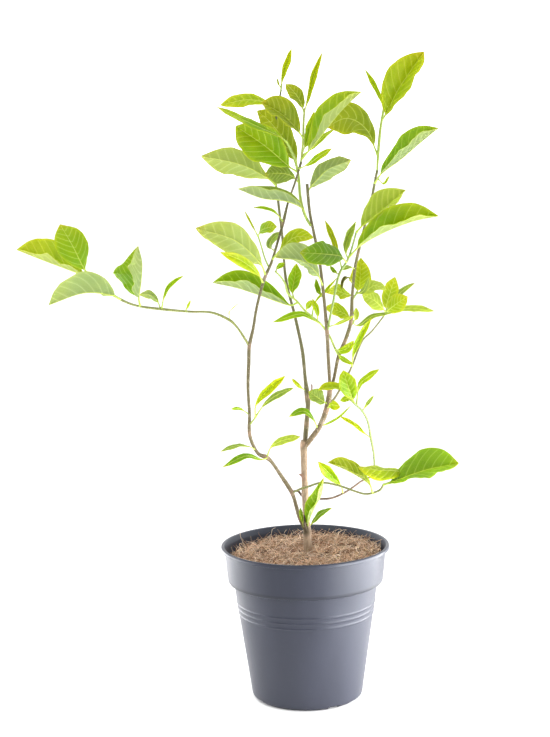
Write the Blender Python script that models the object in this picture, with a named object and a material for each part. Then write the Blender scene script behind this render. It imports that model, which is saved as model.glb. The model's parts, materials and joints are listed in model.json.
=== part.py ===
"""Potted magnolia: a young, much branched plant in a nursery pot.

Metres, +Z up. The origin is the centre of the pot's underside, on the surface it stands on.
Stems and leaves are placed as they are seen by someone who stands in front of the plant:
every point gives how far across and how far up it appears, in millimetres on the upright
plane through the pot's axis, and how deep behind that plane it lies (minus is nearer). The
depths are then spread by one factor, which leaves the view from the front as it is.
"""
import math
import random
from collections import namedtuple

import bmesh
import bpy
from mathutils import Vector

MM = 0.001

# The eye that the across and up values are seen from, and the spread of the depths
EYE = Vector((-30, -1750, 620))
DEPTH_SPREAD = 1.4

# Pot, in millimetres
POT_HEIGHT = 175
LIP_RADIUS = 95
LIP_HEIGHT = 4.5
LIP_WIDTH = 3.4
LIP_ROUND = 1.4
COLLAR_TOP_RADIUS = 91
COLLAR_FOOT_RADIUS = 88
COLLAR_FOOT_HEIGHT = 137
BODY_TOP_RADIUS = 81.5
BODY_FOOT_RADIUS = 62.5
SHOULDER = 4
SHOULDER_ROUND = 0.9
FOOT_ROUND = 4
WALL = 1.8
FLOOR_TOP = 5
FLOOR_ROUND = 2
RIB_HEIGHTS = (98, 104.2, 110.4)
RIB_HALF_HEIGHT = 1.5
RIB_DEPTH = 0.8
FOOT_RING_RADIUS = 58.5
FOOT_RING_HEIGHT = 2
FOOT_INNER_RADIUS = 46
FOOT_CENTRE_RADIUS = 20
FOOT_CLEARANCE = 3
FOOT_SLOPE = 1
NOTCH_SIZE = (18, 13, 3.2)
NOTCH_COUNT = 4
NOTCH_TURN = math.radians(28)
DRAIN_COUNT = 6
DRAIN_SIDES = 8
DRAIN_RADIUS = 4.5
DRAIN_CIRCLE = 33
POT_SEGMENTS = 32

# Soil of coarse coir fibre, in millimetres
SOIL_EDGE_HEIGHT = 160.5
SOIL_GAP = 0.4
SOIL_MOUND = 2.5
SOIL_LEAN = (3.6, 1)
SOIL_RINGS = (79, 66, 51, 35, 18)
SOIL_LUMP = 1.6
SOIL_SEED = 7

# Clearance between pieces that touch
GAP = 0.3

# Stems and blades
STEM_SIDES = 6
TWIG_SIDES = 4
RING_SPACING = 18
PETIOLE_WIDTH = 1.7
RIB_THICKNESS = 1.1
EDGE_THICKNESS = 0.65
LARGE_HALF = 12
SMALL_HALF = 4
WAVE_SHARE = 0.09
WAVES = 2.3

# Half-width of a leaf along its blade, as shares of its length and of its widest place
OUTLINE = ((0, 0.05), (0.12, 0.36), (0.28, 0.72), (0.45, 0.95), (0.6, 1), (0.75, 0.86),
           (0.87, 0.56), (0.95, 0.25), (1, 0.03))
ACROSS = (-1, 0, 1)
LARGE_STATIONS = (0.12, 0.27, 0.44, 0.61, 0.77, 0.9, 1)
SMALL_STATIONS = (0.16, 0.42, 0.66, 0.87, 1)
TINY_STATIONS = (0.2, 0.5, 0.8, 1)

# A margin lies nearer to the eye than its midrib, or further away
NEAR = -1
AWAY = 1

Leaf = namedtuple("Leaf", "midrib left right half petiole", defaults=(7,))

# Woody stems: across, up, depth and diameter
TRUNK = [(3, 120, 0, 10), (3.4, 165, 0, 9.8), (2.6, 185, 0, 9), (2, 205, 0, 8.3),
         (0.8, 250, 0, 7.4), (0.4, 280, 0, 7.5), (0.6, 290, 0, 8.4), (0.8, 294, 0, 6)]
LIMBS = [
    # the long limb on the left
    [(2, 188, 0, 4), (-5.5, 205, -4, 4.6), (-11.5, 228, -7, 4.2), (-14, 235, -8, 5.2),
     (-27.5, 257, -12, 4), (-36, 270, -15, 4.1), (-42, 275.5, -17, 5.4), (-50, 279, -18, 3.9),
     (-56.5, 290, -20, 3.7), (-60, 303, -22, 4.2), (-59.5, 324, -24, 3.5),
     (-60.5, 355, -25, 3.5), (-59, 384, -25, 4), (-58, 401.5, -25, 4.3),
     (-53.5, 420, -25, 3.3), (-49.5, 441.5, -24, 3.2), (-43.5, 464.5, -23, 3.1),
     (-38.5, 479, -22, 3.8), (-31.5, 494, -21, 3), (-23, 520.5, -18, 2.8),
     (-18, 537, -16, 3.4), (-12, 559.5, -14, 2.4), (-4, 581, -12, 2.3), (3, 603, -10, 3)],
    # the middle limb
    [(1.5, 286, 0, 5), (4, 312, 4, 5.6), (6, 332, 8, 5.4), (5.5, 343, 9, 6.2),
     (3.5, 363, 11, 4.2), (1, 393, 14, 4), (-3.5, 418, 16, 3.8), (-8, 439, 18, 3.4),
     (-16, 474, 20, 3.2), (-19, 520, 20, 2.9), (-22.5, 556, 18, 2.8), (-27.5, 608, 14, 2.5),
     (-25, 640, 12, 2.3), (-17.5, 681, 10, 2)],
    # the right limb, and the two tall stems that it forks into
    [(1, 285, 0, 5), (10, 297, -3, 5.8), (18, 308, -5, 5.8), (26.5, 328, -8, 6.4),
     (30.5, 349, -9, 5.6), (30.5, 361, -11, 4), (29.5, 386, -12, 3.9),
     (28.5, 415.5, -12, 4.4), (26.5, 442.5, -12, 3.6), (24, 471, -11, 3.5),
     (21, 497, -10, 3.4), (15.5, 526, -9, 3.2), (11.5, 548, -8, 3.1), (9, 579, -8, 3.4)],
    [(30, 345, -9, 4), (35, 361.5, -4, 3.6), (41, 388, 4, 4.2), (48, 404, 8, 4.5),
     (55, 426, 11, 4.4), (57, 456, 14, 3.6), (60.5, 486.5, 17, 3.2), (64, 502, 18, 3.6),
     (71, 529.5, 20, 2.7), (77, 550, 22, 2.6), (86, 592, 25, 3.1)],
    # the thin stem behind them
    [(28.5, 333, -8, 3), (36, 341, 2, 2.8), (44, 354, 12, 2.6), (55, 375, 28, 2.4),
     (67.5, 404.5, 48, 2.2), (78.5, 415.5, 56, 2), (91, 431, 62, 2)],
    # the low twig that passes behind the trunk
    [(-14, 235, -8, 3), (-7, 236, 0, 2.6), (-0.5, 229, 9, 2.6), (10, 227, 11, 2.5),
     (30, 227, 10, 2.4), (48, 234.5, 16, 2.3), (65, 246, 28, 2.2), (75.5, 251, 37, 2.2),
     (80, 258, 42, 2.6), (79.5, 263, 42, 2.6)],
    # a dead stub at the foot, a bud on the trunk and a dead stub on the middle limb
    [(2, 188, -1, 3), (0, 197, -5.6, 3), (0.6, 208, -6.6, 2.8), (2, 217, -7, 2.7),
     (5, 223, -7.2, 2.5)],
    [(1, 250, 0, 3), (-4.8, 255.5, -1, 2)],
    [(6, 345, 8, 2.6), (10.5, 351, 5, 2), (10.5, 357, 5, 1.7)],
]

# Green twigs and the leaves on them. Each leaf has its midrib's points as across, up and
# depth, its left and right margins as seen from the widest place of the midrib (across, up,
# nearer or away), the true half-width, and the petiole's length.
SPRAYS = {
    "leaf_foot_left": ([], [
        Leaf([(-1, 195, -3), (-3.5, 206, -10), (-4.5, 217, -12)],
             (-2.2, 0.3, NEAR), (2.2, 0, NEAR), 2.6, 5)]),
    "leaf_foot_right": ([], [
        Leaf([(3, 193, 0), (4, 200, -6), (11, 216, -14), (19, 231, -18), (22.5, 250.5, -22)],
             (-11.5, 2.5, AWAY), (-4, 0.5, NEAR), 12.2)]),
    "leaf_foot_twisted": ([], [
        Leaf([(3, 192, 1), (12, 203, 9), (19, 210, 13), (31, 215.5, 17)],
             (-1, 2.5, AWAY), (1, -2.5, NEAR), 5)]),
    "spray_low": ([[(-13, 234, -8, 2), (-5, 238, -12, 2.4), (3.5, 240.5, -14, 2.4),
                    (20, 245, -18, 2.3), (40, 241, -22, 2.3), (60, 233.5, -26, 2.3),
                    (70.5, 231, -28, 2.3), (85, 235, -30, 2.4), (90, 242, -31, 2.6)]], [
        Leaf([(77, 232.5, -29), (73, 243, -37), (52, 257, -42), (27.5, 268, -46)],
             (0, 4, NEAR), (2, 12, AWAY), 14, 12),
        Leaf([(89, 241, -31), (99, 245.5, -34), (108, 255.5, -37), (85.5, 258, -41),
              (61, 262, -45)],
             (0, -10.5, NEAR), (0, 1.5, AWAY), 12.5, 19),
        Leaf([(89.5, 241.5, -31), (97, 243, -35), (137, 257, -46), (174, 264, -58)],
             (-2, 22, AWAY), (1, -1.5, NEAR), 24)]),
    "leaf_low_yellow": ([], [
        Leaf([(43.3, 232.5, 14.2), (42, 240, 11), (31, 253, 7), (16.5, 269, 0)],
             (-4.4, -4, NEAR), (4.4, 4, NEAR), 7, 11)]),
    "spray_low_right": ([[(79.6, 261, 42, 2.4), (79, 276, 39, 2.5), (76, 294, 28, 2.9),
                          (73.5, 310, 13, 2.4), (71, 318, 3, 2.4), (65.5, 327, -10, 2.5),
                          (54, 338, -22, 2.2)]], [
        Leaf([(75.7, 295, 27), (66, 303, 20), (58, 311, 18), (40.5, 321, 16)],
             (-1, -2, NEAR), (1, 2, NEAR), 3.5),
        Leaf([(66.5, 325.5, -8), (73, 335, -12), (79.5, 343, -14)],
             (-1.5, 1.2, NEAR), (1.5, -1.2, NEAR), 2.3, 4),
        Leaf([(57.5, 335.5, -21), (54, 345, -28), (50, 358, -33), (46, 372, -34)],
             (-9.5, -2, NEAR), (9.5, 2, NEAR), 11, 5),
        Leaf([(55.5, 337, -22), (45, 350, -22), (30, 353, -25), (17.5, 350.5, -28)],
             (0, -1, NEAR), (0, 6, AWAY), 7, 9),
        Leaf([(60, 332.5, -16), (64, 355, -10), (75, 365, -4), (86, 372.5, 2)],
             (-2, 3, AWAY), (2, -2, NEAR), 4.5, 14),
        Leaf([(55.5, 337, -22), (50, 340, -17), (42, 338, -13)],
             (0, -3, NEAR), (0, 3, AWAY), 4, 3)]),
    "leaf_fork_yellow": ([], [
        Leaf([(26.5, 329, -8), (31, 333, -16), (36, 333, -22), (42, 331, -27)],
             (0, 4, AWAY), (0, -5, NEAR), 6.5, 6)]),
    "leaf_fork_grey": ([], [
        Leaf([(27.5, 335, -9), (22, 338, -15), (15, 343, -18), (7, 349, -19)],
             (-3, -4, NEAR), (5, 8, AWAY), 10, 6)]),
    "leaf_fork_narrow": ([], [
        Leaf([(19.5, 310, -5), (24, 311, 6), (38, 318, 10), (54, 332, 12)],
             (-0.8, 1, NEAR), (0.8, -1, NEAR), 1.8, 6)]),
    "leaf_fork_dark": ([], [
        Leaf([(17, 306.5, -5), (10, 320, -13), (0, 327, -17), (-15.5, 321, -20)],
             (0, -2.5, NEAR), (0, 3.5, AWAY), 5)]),
    "leaf_middle_yellow": ([], [
        Leaf([(4, 350, 10), (-3, 355, 3), (-11.5, 364, -2)],
             (-1.5, -1.5, NEAR), (1.5, 1.5, NEAR), 2.8, 6)]),
    "leaf_limb_small": ([], [
        Leaf([(-59.5, 324, -24), (-70, 331, -27), (-80, 331, -32)],
             (0, -1.5, NEAR), (0, 1.5, AWAY), 2.3, 6)]),
    "spray_limb": ([[(-60, 312, -23, 1.9), (-56, 317, -26, 1.8), (-52, 322, -28, 1.8)]], [
        Leaf([(-53, 320.5, -28), (-52, 335, -31), (-38, 352, -36), (-19, 367, -40)],
             (-3, 3.5, NEAR), (3, -3.5, NEAR), 6, 13),
        Leaf([(-53, 321, -28), (-42, 336, -24), (-26, 347, -20), (-9.5, 353.5, -16)],
             (-1.5, 2.5, AWAY), (1.5, -3, NEAR), 5, 12)]),
    "leaf_limb_edge": ([], [
        Leaf([(-53.5, 284, -19), (-61, 288, -25), (-75, 289, -33), (-93, 283, -40)],
             (0, -1.2, NEAR), (0, 1.5, AWAY), 5, 8)]),
    "leaf_limb_green": ([], [
        Leaf([(-40.5, 274.5, -17), (-48, 273, -28), (-65, 277, -38), (-91, 265, -46)],
             (0, -2.5, NEAR), (0, 3, AWAY), 5, 10)]),
    "leaf_limb_pale": ([], [
        Leaf([(-41, 276, -17), (-35, 288, -24), (-20, 295, -27), (-3, 298, -30)],
             (-1, 3.5, AWAY), (1, -3.5, NEAR), 5.5, 12)]),
    "spray_left": ([[(-58.5, 401.5, -25, 2.4), (-62.5, 409, -27, 2.8), (-70.5, 421.5, -29, 2.6),
                     (-79, 430.5, -31, 3.2), (-99, 439.5, -34, 2.6), (-123, 441, -38, 2.5),
                     (-155, 444.5, -42, 3.2), (-182.5, 449, -46, 2.5), (-200, 456.5, -50, 3),
                     (-218, 469, -46, 2.5), (-235, 485, -44, 2.5)]], [
        Leaf([(-79, 431, -31), (-79, 440, -35), (-69.5, 449, -39)],
             (-1.5, -1, NEAR), (1.5, 1, NEAR), 2.2, 5),
        Leaf([(-128, 441.8, -38.5), (-125, 447, -43), (-122, 453.5, -45)],
             (-1.2, 0.5, NEAR), (1.2, -0.5, NEAR), 1.8, 3),
        Leaf([(-154, 445, -42), (-151, 458, -47), (-143, 472, -51), (-129, 481, -53)],
             (-1.5, 2, NEAR), (1.5, -1.5, NEAR), 3.4, 9),
        Leaf([(-155.5, 445, -42), (-159, 454, -35), (-168, 461, -30), (-178, 460.5, -24)],
             (0, 5, AWAY), (0, -5, AWAY), 6, 8),
        Leaf([(-178, 448.5, -45.5), (-179, 458.5, -52), (-176, 477, -58), (-174.5, 497, -62),
              (-178, 514.5, -64)],
             (-31, 0, AWAY), (-9, 0, NEAR), 32, 12),
        Leaf([(-199, 456, -50), (-209, 461, -64), (-240, 464, -84), (-278.5, 451.5, -98)],
             (2, 24, NEAR), (0, -1, AWAY), 25, 14),
        Leaf([(-234, 484, -44), (-240, 494, -46), (-250, 516, -50), (-263, 540, -46)],
             (-15, -7, NEAR), (15, 7, AWAY), 18, 6),
        Leaf([(-234, 484, -44), (-244, 486, -34), (-262.5, 493, -24), (-286.5, 502.5, -17),
              (-311.5, 513, -14)],
             (2, 9, NEAR), (5, 24, AWAY), 26, 9)]),
    "leaf_upper_left": ([], [
        Leaf([(-38.5, 480, -22), (-44, 493, -29), (-72, 519, -44), (-114, 533, -58)],
             (9, 13, AWAY), (-9, -13, AWAY), 18, 13)]),
    "leaf_upper_left_spotted": ([], [
        Leaf([(-41.5, 471.5, -22.5), (-47, 482, -36), (-66, 497, -56), (-87.5, 506, -68)],
             (-2.5, -5.5, NEAR), (2.5, 5.5, NEAR), 7, 14)]),
    "spray_upper_left": ([[(-34.5, 488, -21.5, 1.9), (-39, 499, -20, 1.7), (-42, 510, -19, 1.7),
                           (-46, 524, -20, 1.7)]], [
        Leaf([(-46, 523, -20), (-52, 535, -16), (-60, 551, -12)],
             (-1.1, -0.4, NEAR), (1.1, 0.4, NEAR), 1.8, 4),
        Leaf([(-46, 523, -20), (-42, 529, -26), (-35, 532, -30), (-25, 533, -34)],
             (-1, 7, AWAY), (1, -5, NEAR), 9, 4)]),
    "leaf_upper_curved": ([], [
        Leaf([(-17.5, 538, -16), (-27, 549, -22), (-38, 554, -26), (-50, 554.5, -30)],
             (-1, -1.5, NEAR), (1, 1.5, NEAR), 2.8, 8)]),
    "leaf_centre_yellow": ([], [
        Leaf([(-30.5, 497, -21), (-21, 508, -24), (-5, 521, -18), (15, 520, -15)],
             (-1, 9, AWAY), (1, -9, NEAR), 11, 12)]),
    "leaf_centre_shaded": ([], [
        Leaf([(-27.5, 506, -20), (-33, 512, -11), (-30, 520, -6), (-22, 527, -3)],
             (-3.5, 2, AWAY), (3.5, -2, AWAY), 6, 6)]),
    "spray_centre": ([[(41, 389, 4, 2.8), (37, 397, 4, 2.5), (31, 411, 3, 2.4),
                       (22, 424, 2, 2.4), (12, 433, 0, 2.3), (4, 440, -3, 2.3),
                       (-4, 450, -6, 2.3), (-14, 459, -10, 2.6), (-17, 470, -12, 2),
                       (-22, 478, -14, 1.8), (-28, 484, -15, 1.7)]], [
        Leaf([(-27, 483.5, -15), (-25, 488, -12), (-17, 493, -8)],
             (-1.5, 2.5, NEAR), (1.5, -2.5, NEAR), 3.5, 3),
        Leaf([(-3, 449, -6), (-12, 446, -3), (-43, 457, 1), (-69, 466, 1), (-96.5, 472.5, -2)],
             (1, 11, NEAR), (3, 21, AWAY), 21, 9),
        Leaf([(22, 424, 2), (12, 430, -7), (0, 436, -11), (-31.5, 427.5, -18)],
             (0, -3, NEAR), (0, 3.5, AWAY), 5, 8),
        Leaf([(18, 428, 1.5), (18, 438, -4), (13, 452.5, -8)],
             (-3, -1, NEAR), (3, 1, NEAR), 4, 5),
        Leaf([(5, 439, -3), (8, 445, -7), (12, 451, -9)],
             (-2.5, 2, NEAR), (2.5, -2, NEAR), 3.6, 3),
        Leaf([(12, 433, 0), (16, 449, 5), (28, 462, 9), (40, 475, 11)],
             (-1, 1.2, NEAR), (1, -1.2, NEAR), 2.8, 12),
        Leaf([(-8, 454, -7.5), (-9, 463, 0), (-6, 478, 4), (-4, 492, 6)],
             (-7, 1, NEAR), (7, -1, NEAR), 8.5),
        Leaf([(37.5, 396, 4), (43, 394, -8), (51, 397, -11), (58, 405, -12)],
             (-2, 4, NEAR), (2, -4, NEAR), 5, 9),
        Leaf([(38.5, 394, 4), (44, 386, -8), (57, 379, -12)],
             (0, 3, AWAY), (0, -3, NEAR), 4, 10)]),
    "leaf_stem_dark": ([], [
        Leaf([(25.5, 453, -11.5), (20, 460, -3), (17, 475, 0)],
             (-3, 0, NEAR), (3, 0, NEAR), 4.5, 6)]),
    "leaf_stem_pale": ([], [
        Leaf([(24.5, 467, -11), (18, 481, -24), (1, 495, -36), (-27, 499, -44)],
             (2, 19, AWAY), (2, -9, AWAY), 20, 16)]),
    "spray_stem": ([[(28.7, 416, -12, 3), (32, 431, -14, 2.8), (35.5, 447, -16, 2.6),
                     (43, 479.5, -19, 2.9), (53, 496, -21, 2.4), (63, 527, -23, 2)]], [
        Leaf([(30, 421, -13), (42, 425, -19), (59, 433, -24)],
             (-0.8, 1.6, AWAY), (0.8, -1.6, NEAR), 2.5, 6),
        Leaf([(42.5, 479, -19), (38, 482, -14), (33, 489, -10)],
             (-2, -1, NEAR), (2, 1, NEAR), 3.6, 3),
        Leaf([(46, 485, -19.5), (43, 497, -14), (36, 520, -9), (28, 539, -6)],
             (-3, -1, NEAR), (3, 1, NEAR), 4.5, 12),
        Leaf([(51, 492.5, -20.5), (44, 499, -32), (24, 502, -50), (0, 504, -62)],
             (0, -12, NEAR), (0, 13, AWAY), 18, 9),
        Leaf([(53, 496, -21), (50, 505, -12), (54, 521, -3), (62, 537, 0)],
             (-4, 1, NEAR), (4, -1, NEAR), 6, 8),
        Leaf([(62.5, 525, -23), (68, 531, -27), (90, 548, -34), (117, 570, -40)],
             (-12, 15, AWAY), (1, -2, NEAR), 20, 8),
        Leaf([(54, 498, -21), (67.5, 511, -32), (94, 525, -45), (125, 536, -57),
              (152.5, 541, -66)],
             (-8, 22, AWAY), (-3, 6.5, NEAR), 23, 15)]),
    "spray_right_low": ([[(54, 421, 10.5, 2), (57, 424, 15, 1.8), (58, 427, 19, 1.8)]], [
        Leaf([(57.5, 424.5, 17), (64, 422, 32), (80, 432, 43), (102.5, 435.5, 44)],
             (-1, 2.4, AWAY), (1, -2.4, NEAR), 4, 8),
        Leaf([(58, 426.5, 18.5), (50, 434, 22), (40, 439, 27), (27, 441, 32)],
             (0, -6.5, NEAR), (0, 8, AWAY), 11, 6),
        Leaf([(58, 426, 18), (61, 431, 14), (61, 442, 12)],
             (-3, 0, NEAR), (3, 0, NEAR), 4, 3)]),
    "spray_right": ([[(57, 450, 13.5, 2), (60, 455, 20, 1.8), (62, 459, 25, 1.8)]], [
        Leaf([(62, 458.5, 24.5), (65, 466, 36), (66, 478, 44), (67, 497, 48)],
             (-12, 0, NEAR), (12, 0, NEAR), 15, 5),
        Leaf([(61.5, 458, 24), (72, 460, 21), (82, 466, 24), (95, 461, 28)],
             (0, 6, AWAY), (0, -6, NEAR), 8.5, 6),
        Leaf([(61, 456.5, 22), (70, 461, 10), (76, 475, 6)],
             (-2.5, 1, AWAY), (2.5, -1, NEAR), 4.5, 6),
        Leaf([(60, 455, 20), (50, 457, 26), (40, 461, 31), (28, 459, 36)],
             (0, -7, NEAR), (0, 7, AWAY), 11, 5)]),
    "leaf_right_long": ([], [
        Leaf([(55.5, 376.5, 28.5), (58, 392, 23), (66, 411, 18), (78, 430, 16)],
             (-3, 2, NEAR), (3, -2, NEAR), 4.6, 8)]),
    "leaf_withered": ([], [
        Leaf([(58.2, 468, 15), (53, 476, 9), (48, 471, 6), (46, 462, 5)],
             (-3, 1, AWAY), (3, 1, AWAY), 4.5, 4)]),
    "leaf_right_grey": ([], [
        Leaf([(60.3, 485, 17), (53, 487, 8), (44, 484, 4)],
             (0, -2, NEAR), (0, 2, AWAY), 3, 5)]),
    "spray_right_back": ([[(90, 429.5, 61.5, 2), (93, 434, 64, 1.9), (95, 438, 66, 1.8)]], [
        Leaf([(93, 434, 64), (104, 437, 66), (122, 440, 68), (147.5, 436.5, 68)],
             (0, 3.5, AWAY), (0, -3, NEAR), 6, 9),
        Leaf([(94, 436, 65), (89, 442, 60), (80, 450, 54), (68, 456, 50)],
             (-3, -8, NEAR), (3, 8, AWAY), 10.5, 5),
        Leaf([(94.5, 437, 65.5), (95, 444, 72), (99, 458, 78), (104.5, 475, 80)],
             (-8, 1, AWAY), (8, -1, NEAR), 9.5, 5),
        Leaf([(94, 436, 65), (99, 440, 58), (107, 446, 53), (118, 453, 48)],
             (-4, 8, AWAY), (4, -8, NEAR), 11.5, 4),
        Leaf([(94.5, 437.5, 66), (102, 448, 82), (113, 460, 92), (126.5, 468, 97)],
             (-1.5, 3, AWAY), (1.5, -3, NEAR), 5, 12)]),
    "spray_top_right": ([[(85.7, 590, 25, 2.2), (87.5, 613, 26, 3.3), (90, 637, 27, 3.1),
                          (94, 660, 28, 2.7)]], [
        Leaf([(92, 647, 27.5), (97, 654, 20), (112, 682, 8), (138, 718.5, 2)],
             (-18, 11, NEAR), (7, -4, NEAR), 22, 9),
        Leaf([(93.5, 657, 28), (91, 668, 31), (83, 685, 34), (74, 701, 36)],
             (-2.4, -1.2, NEAR), (2.4, 1.2, NEAR), 4, 4),
        Leaf([(87, 607, 26), (84, 615.5, 26), (76.5, 634, 24), (63.5, 646, 20),
              (49.5, 648.5, 12), (32, 640, 2)],
             (-4, -15, NEAR), (5, 16, AWAY), 19, 12)]),
    "spray_right_high": ([], [
        Leaf([(83, 578, 24), (91, 589, 15), (111, 603, 6), (133, 621, -5), (153, 636.5, -15)],
             (-9, 17, AWAY), (-5.5, 8, NEAR), 20, 14),
        Leaf([(86.5, 583, 20), (93, 578, 14), (99.5, 586, 9)],
             (-1, 0.8, NEAR), (1, -0.8, NEAR), 2, 4)]),
    "spray_top": ([[(2.6, 601, -10, 2.3), (5.5, 625, -10, 2.8), (6.5, 648, -9, 2.5),
                    (8, 661, -8, 2.2)]], [
        Leaf([(7.6, 658, -8), (12.5, 673, -9), (18.5, 696, -12), (27.5, 719.5, -14)],
             (-3.2, 0.8, NEAR), (3.2, -0.8, NEAR), 5, 3),
        Leaf([(3.8, 606, -10), (12, 615.5, -15), (24, 629.5, -20), (38.5, 647.5, -26),
              (51.5, 661.5, -30), (69.5, 677, -34)],
             (-15.5, 14, AWAY), (-7, 6.5, NEAR), 22, 11),
        Leaf([(4.8, 614, -10), (9, 623, 0), (14, 640, 6), (18, 657, 8)],
             (-5, 1.5, NEAR), (6, -2, NEAR), 7, 8),
        Leaf([(4.2, 610, -10), (16, 618, -5), (28, 630, -4), (40, 638, -4)],
             (-1.5, 2, AWAY), (1.5, -2, NEAR), 3.6, 9),
        Leaf([(5.6, 629, -10), (0, 636.5, -15), (-14, 652, -21), (-27.5, 661.5, -25),
              (-39.5, 667.5, -28)],
             (-3.5, -5, NEAR), (9, 15, AWAY), 17.5),
        Leaf([(7.5, 655, -8), (2, 670, -10), (-5.5, 680.5, -13), (-12, 687, -15)],
             (-6, -3, NEAR), (7, 4, AWAY), 9, 5)]),
    "leaf_top_narrow": ([], [
        Leaf([(0.6, 595.5, -11), (12, 601, -17), (25, 610, -20), (37, 617, -22)],
             (-1.8, 3, AWAY), (1.8, -3, NEAR), 4.8)]),
    "leaf_top_shaded": ([], [
        Leaf([(9.6, 571, -8), (17, 580, -2), (32, 594, 6), (57.5, 604, 10)],
             (5, -9, AWAY), (-5, 9, AWAY), 13.5, 5)]),
    "spray_top_left": ([[(12.5, 533, -9, 3), (7, 543, -7, 3.2), (3, 555.5, -4, 3.2),
                         (1, 568, -1, 3.1), (-0.5, 591, 1, 3), (-5.5, 610, -6, 2.9),
                         (-13, 626, -13, 2.6)]], [
        Leaf([(8, 541.5, -7.5), (3, 553, -14), (-15.5, 561, -22), (-40.5, 564.5, -32),
              (-66.5, 575, -42)],
             (2, 11, NEAR), (4, 14, AWAY), 15, 13),
        Leaf([(0, 581, 0), (-8, 588, -1), (-20, 591, -3), (-37, 590, -5)],
             (0, -11, NEAR), (0, 10, AWAY), 12.5, 5),
        Leaf([(-0.6, 592, 1), (-9.5, 597.5, -3), (-35, 620, -7), (-67.5, 643, -9)],
             (-14, -15, NEAR), (13, 16, NEAR), 24, 12),
        Leaf([(-12, 624.5, -12.5), (-19.5, 630.5, -17), (-50, 645, -23), (-87.5, 664, -28)],
             (-2, -3.2, NEAR), (2, 3.8, AWAY), 7, 8),
        Leaf([(-2.1, 597, -1.2), (-2.5, 605, 3), (-15.5, 627, 7), (-30, 646.5, 9), (-44, 659, 8)],
             (-11, -10, NEAR), (11, 10, AWAY), 17, 8)]),
    "leaf_top_left_pale": ([], [
        Leaf([(-24.8, 578, 16), (-34, 586, 11), (-62, 601, -2), (-106, 611.5, -14)],
             (7, 14, AWAY), (-7, -13, AWAY), 18, 12)]),
    "leaf_top_left_curled": ([], [
        Leaf([(-21.5, 659, 11), (-32, 667, 12), (-55, 671, 11), (-84, 666, 8)],
             (0, -7, NEAR), (0, 7.5, AWAY), 9, 10)]),
    "spray_middle_top": ([[(-18, 678.5, 10, 2), (-17.2, 684, 10, 1.9), (-16.8, 687, 10, 1.8)]], [
        Leaf([(-17.2, 685, 10), (-15, 696, 10), (-10.5, 709.5, 8), (-5.5, 724.5, 6)],
             (-3.3, 0.8, NEAR), (3.3, -0.8, NEAR), 5, 2),
        Leaf([(-17.3, 683, 10), (-20, 687, 12), (-21.5, 693.5, 13)],
             (-1, -0.3, NEAR), (1, 0.3, NEAR), 1.5, 2)]),
}

# Base colours of the nodes, linear
GREEN = (0.13, 0.29, 0.03)
OLIVE = (0.16, 0.25, 0.05)
YELLOW = (0.42, 0.47, 0.05)
PALE = (0.32, 0.42, 0.17)
DARK = (0.07, 0.16, 0.03)
WITHERED = (0.03, 0.025, 0.02)
WOOD = (0.13, 0.1, 0.07)
POT = (0.1, 0.11, 0.14)
COIR = (0.33, 0.2, 0.11)

COLOURS = {
    "leaf_foot_left": YELLOW, "leaf_foot_twisted": PALE, "leaf_low_yellow": YELLOW,
    "leaf_fork_yellow": YELLOW, "leaf_fork_grey": PALE, "leaf_fork_narrow": PALE,
    "leaf_fork_dark": DARK, "leaf_middle_yellow": YELLOW, "leaf_limb_edge": PALE,
    "leaf_limb_pale": PALE, "leaf_upper_left": PALE, "leaf_upper_left_spotted": YELLOW,
    "leaf_centre_yellow": YELLOW, "leaf_centre_shaded": PALE, "leaf_stem_dark": DARK,
    "leaf_stem_pale": PALE, "leaf_withered": WITHERED, "leaf_right_grey": PALE,
    "leaf_right_long": YELLOW, "leaf_top_narrow": YELLOW, "leaf_top_shaded": PALE,
    "leaf_top_left_pale": OLIVE, "leaf_top_left_curled": OLIVE, "spray_middle_top": OLIVE,
}


def seen(across, up, depth):
    """The point, in millimetres, that appears at (across, up) and lies at this depth."""
    depth *= DEPTH_SPREAD
    reach = (depth - EYE.y) / -EYE.y
    return Vector((EYE.x + reach * (across - EYE.x), depth, EYE.z + reach * (up - EYE.z)))


def clear_scene():
    for obj in list(bpy.data.objects):
        bpy.data.objects.remove(obj)


def material(name, colour, roughness):
    made = bpy.data.materials.new(name)
    made.use_nodes = True
    shader = made.node_tree.nodes["Principled BSDF"]
    shader.inputs["Base Color"].default_value = (*colour, 1)
    shader.inputs["Roughness"].default_value = roughness
    return made


def mesh_object(name, bm):
    """An object from a closed bmesh, with all its faces turned outwards."""
    bmesh.ops.recalc_face_normals(bm, faces=bm.faces)
    if bm.calc_volume(signed=True) < 0:
        bmesh.ops.reverse_faces(bm, faces=bm.faces)
    mesh = bpy.data.meshes.new(name)
    bm.to_mesh(mesh)
    bm.free()
    made = bpy.data.objects.new(name, mesh)
    bpy.context.collection.objects.link(made)
    return made


class Route:
    """A smooth curve through points; each point may carry more values than its place."""

    def __init__(self, points):
        self.points = [Vector(point) for point in points]
        self.knots = [0.0]
        for first, second in zip(self.points, self.points[1:]):
            self.knots.append(self.knots[-1] + (second.xyz - first.xyz).length)
        self.length = self.knots[-1]

    def slope(self, index):
        before = max(index - 1, 0)
        after = min(index + 1, len(self.points) - 1)
        span = self.knots[after] - self.knots[before]
        return (self.points[after] - self.points[before]) / span

    def at(self, distance):
        last = len(self.points) - 2
        index = 0
        while index < last and self.knots[index + 1] < distance:
            index += 1
        span = self.knots[index + 1] - self.knots[index]
        t = (distance - self.knots[index]) / span
        start = self.points[index] * (2 * t**3 - 3 * t**2 + 1)
        start += self.slope(index) * span * (t**3 - 2 * t**2 + t)
        end = self.points[index + 1] * (3 * t**2 - 2 * t**3)
        end += self.slope(index + 1) * span * (t**3 - t**2)
        return start + end

    def tangent(self, distance):
        step = self.length * 0.01
        ahead = self.at(min(distance + step, self.length))
        return (ahead - self.at(max(distance - step, 0))).xyz.normalized()


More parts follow.
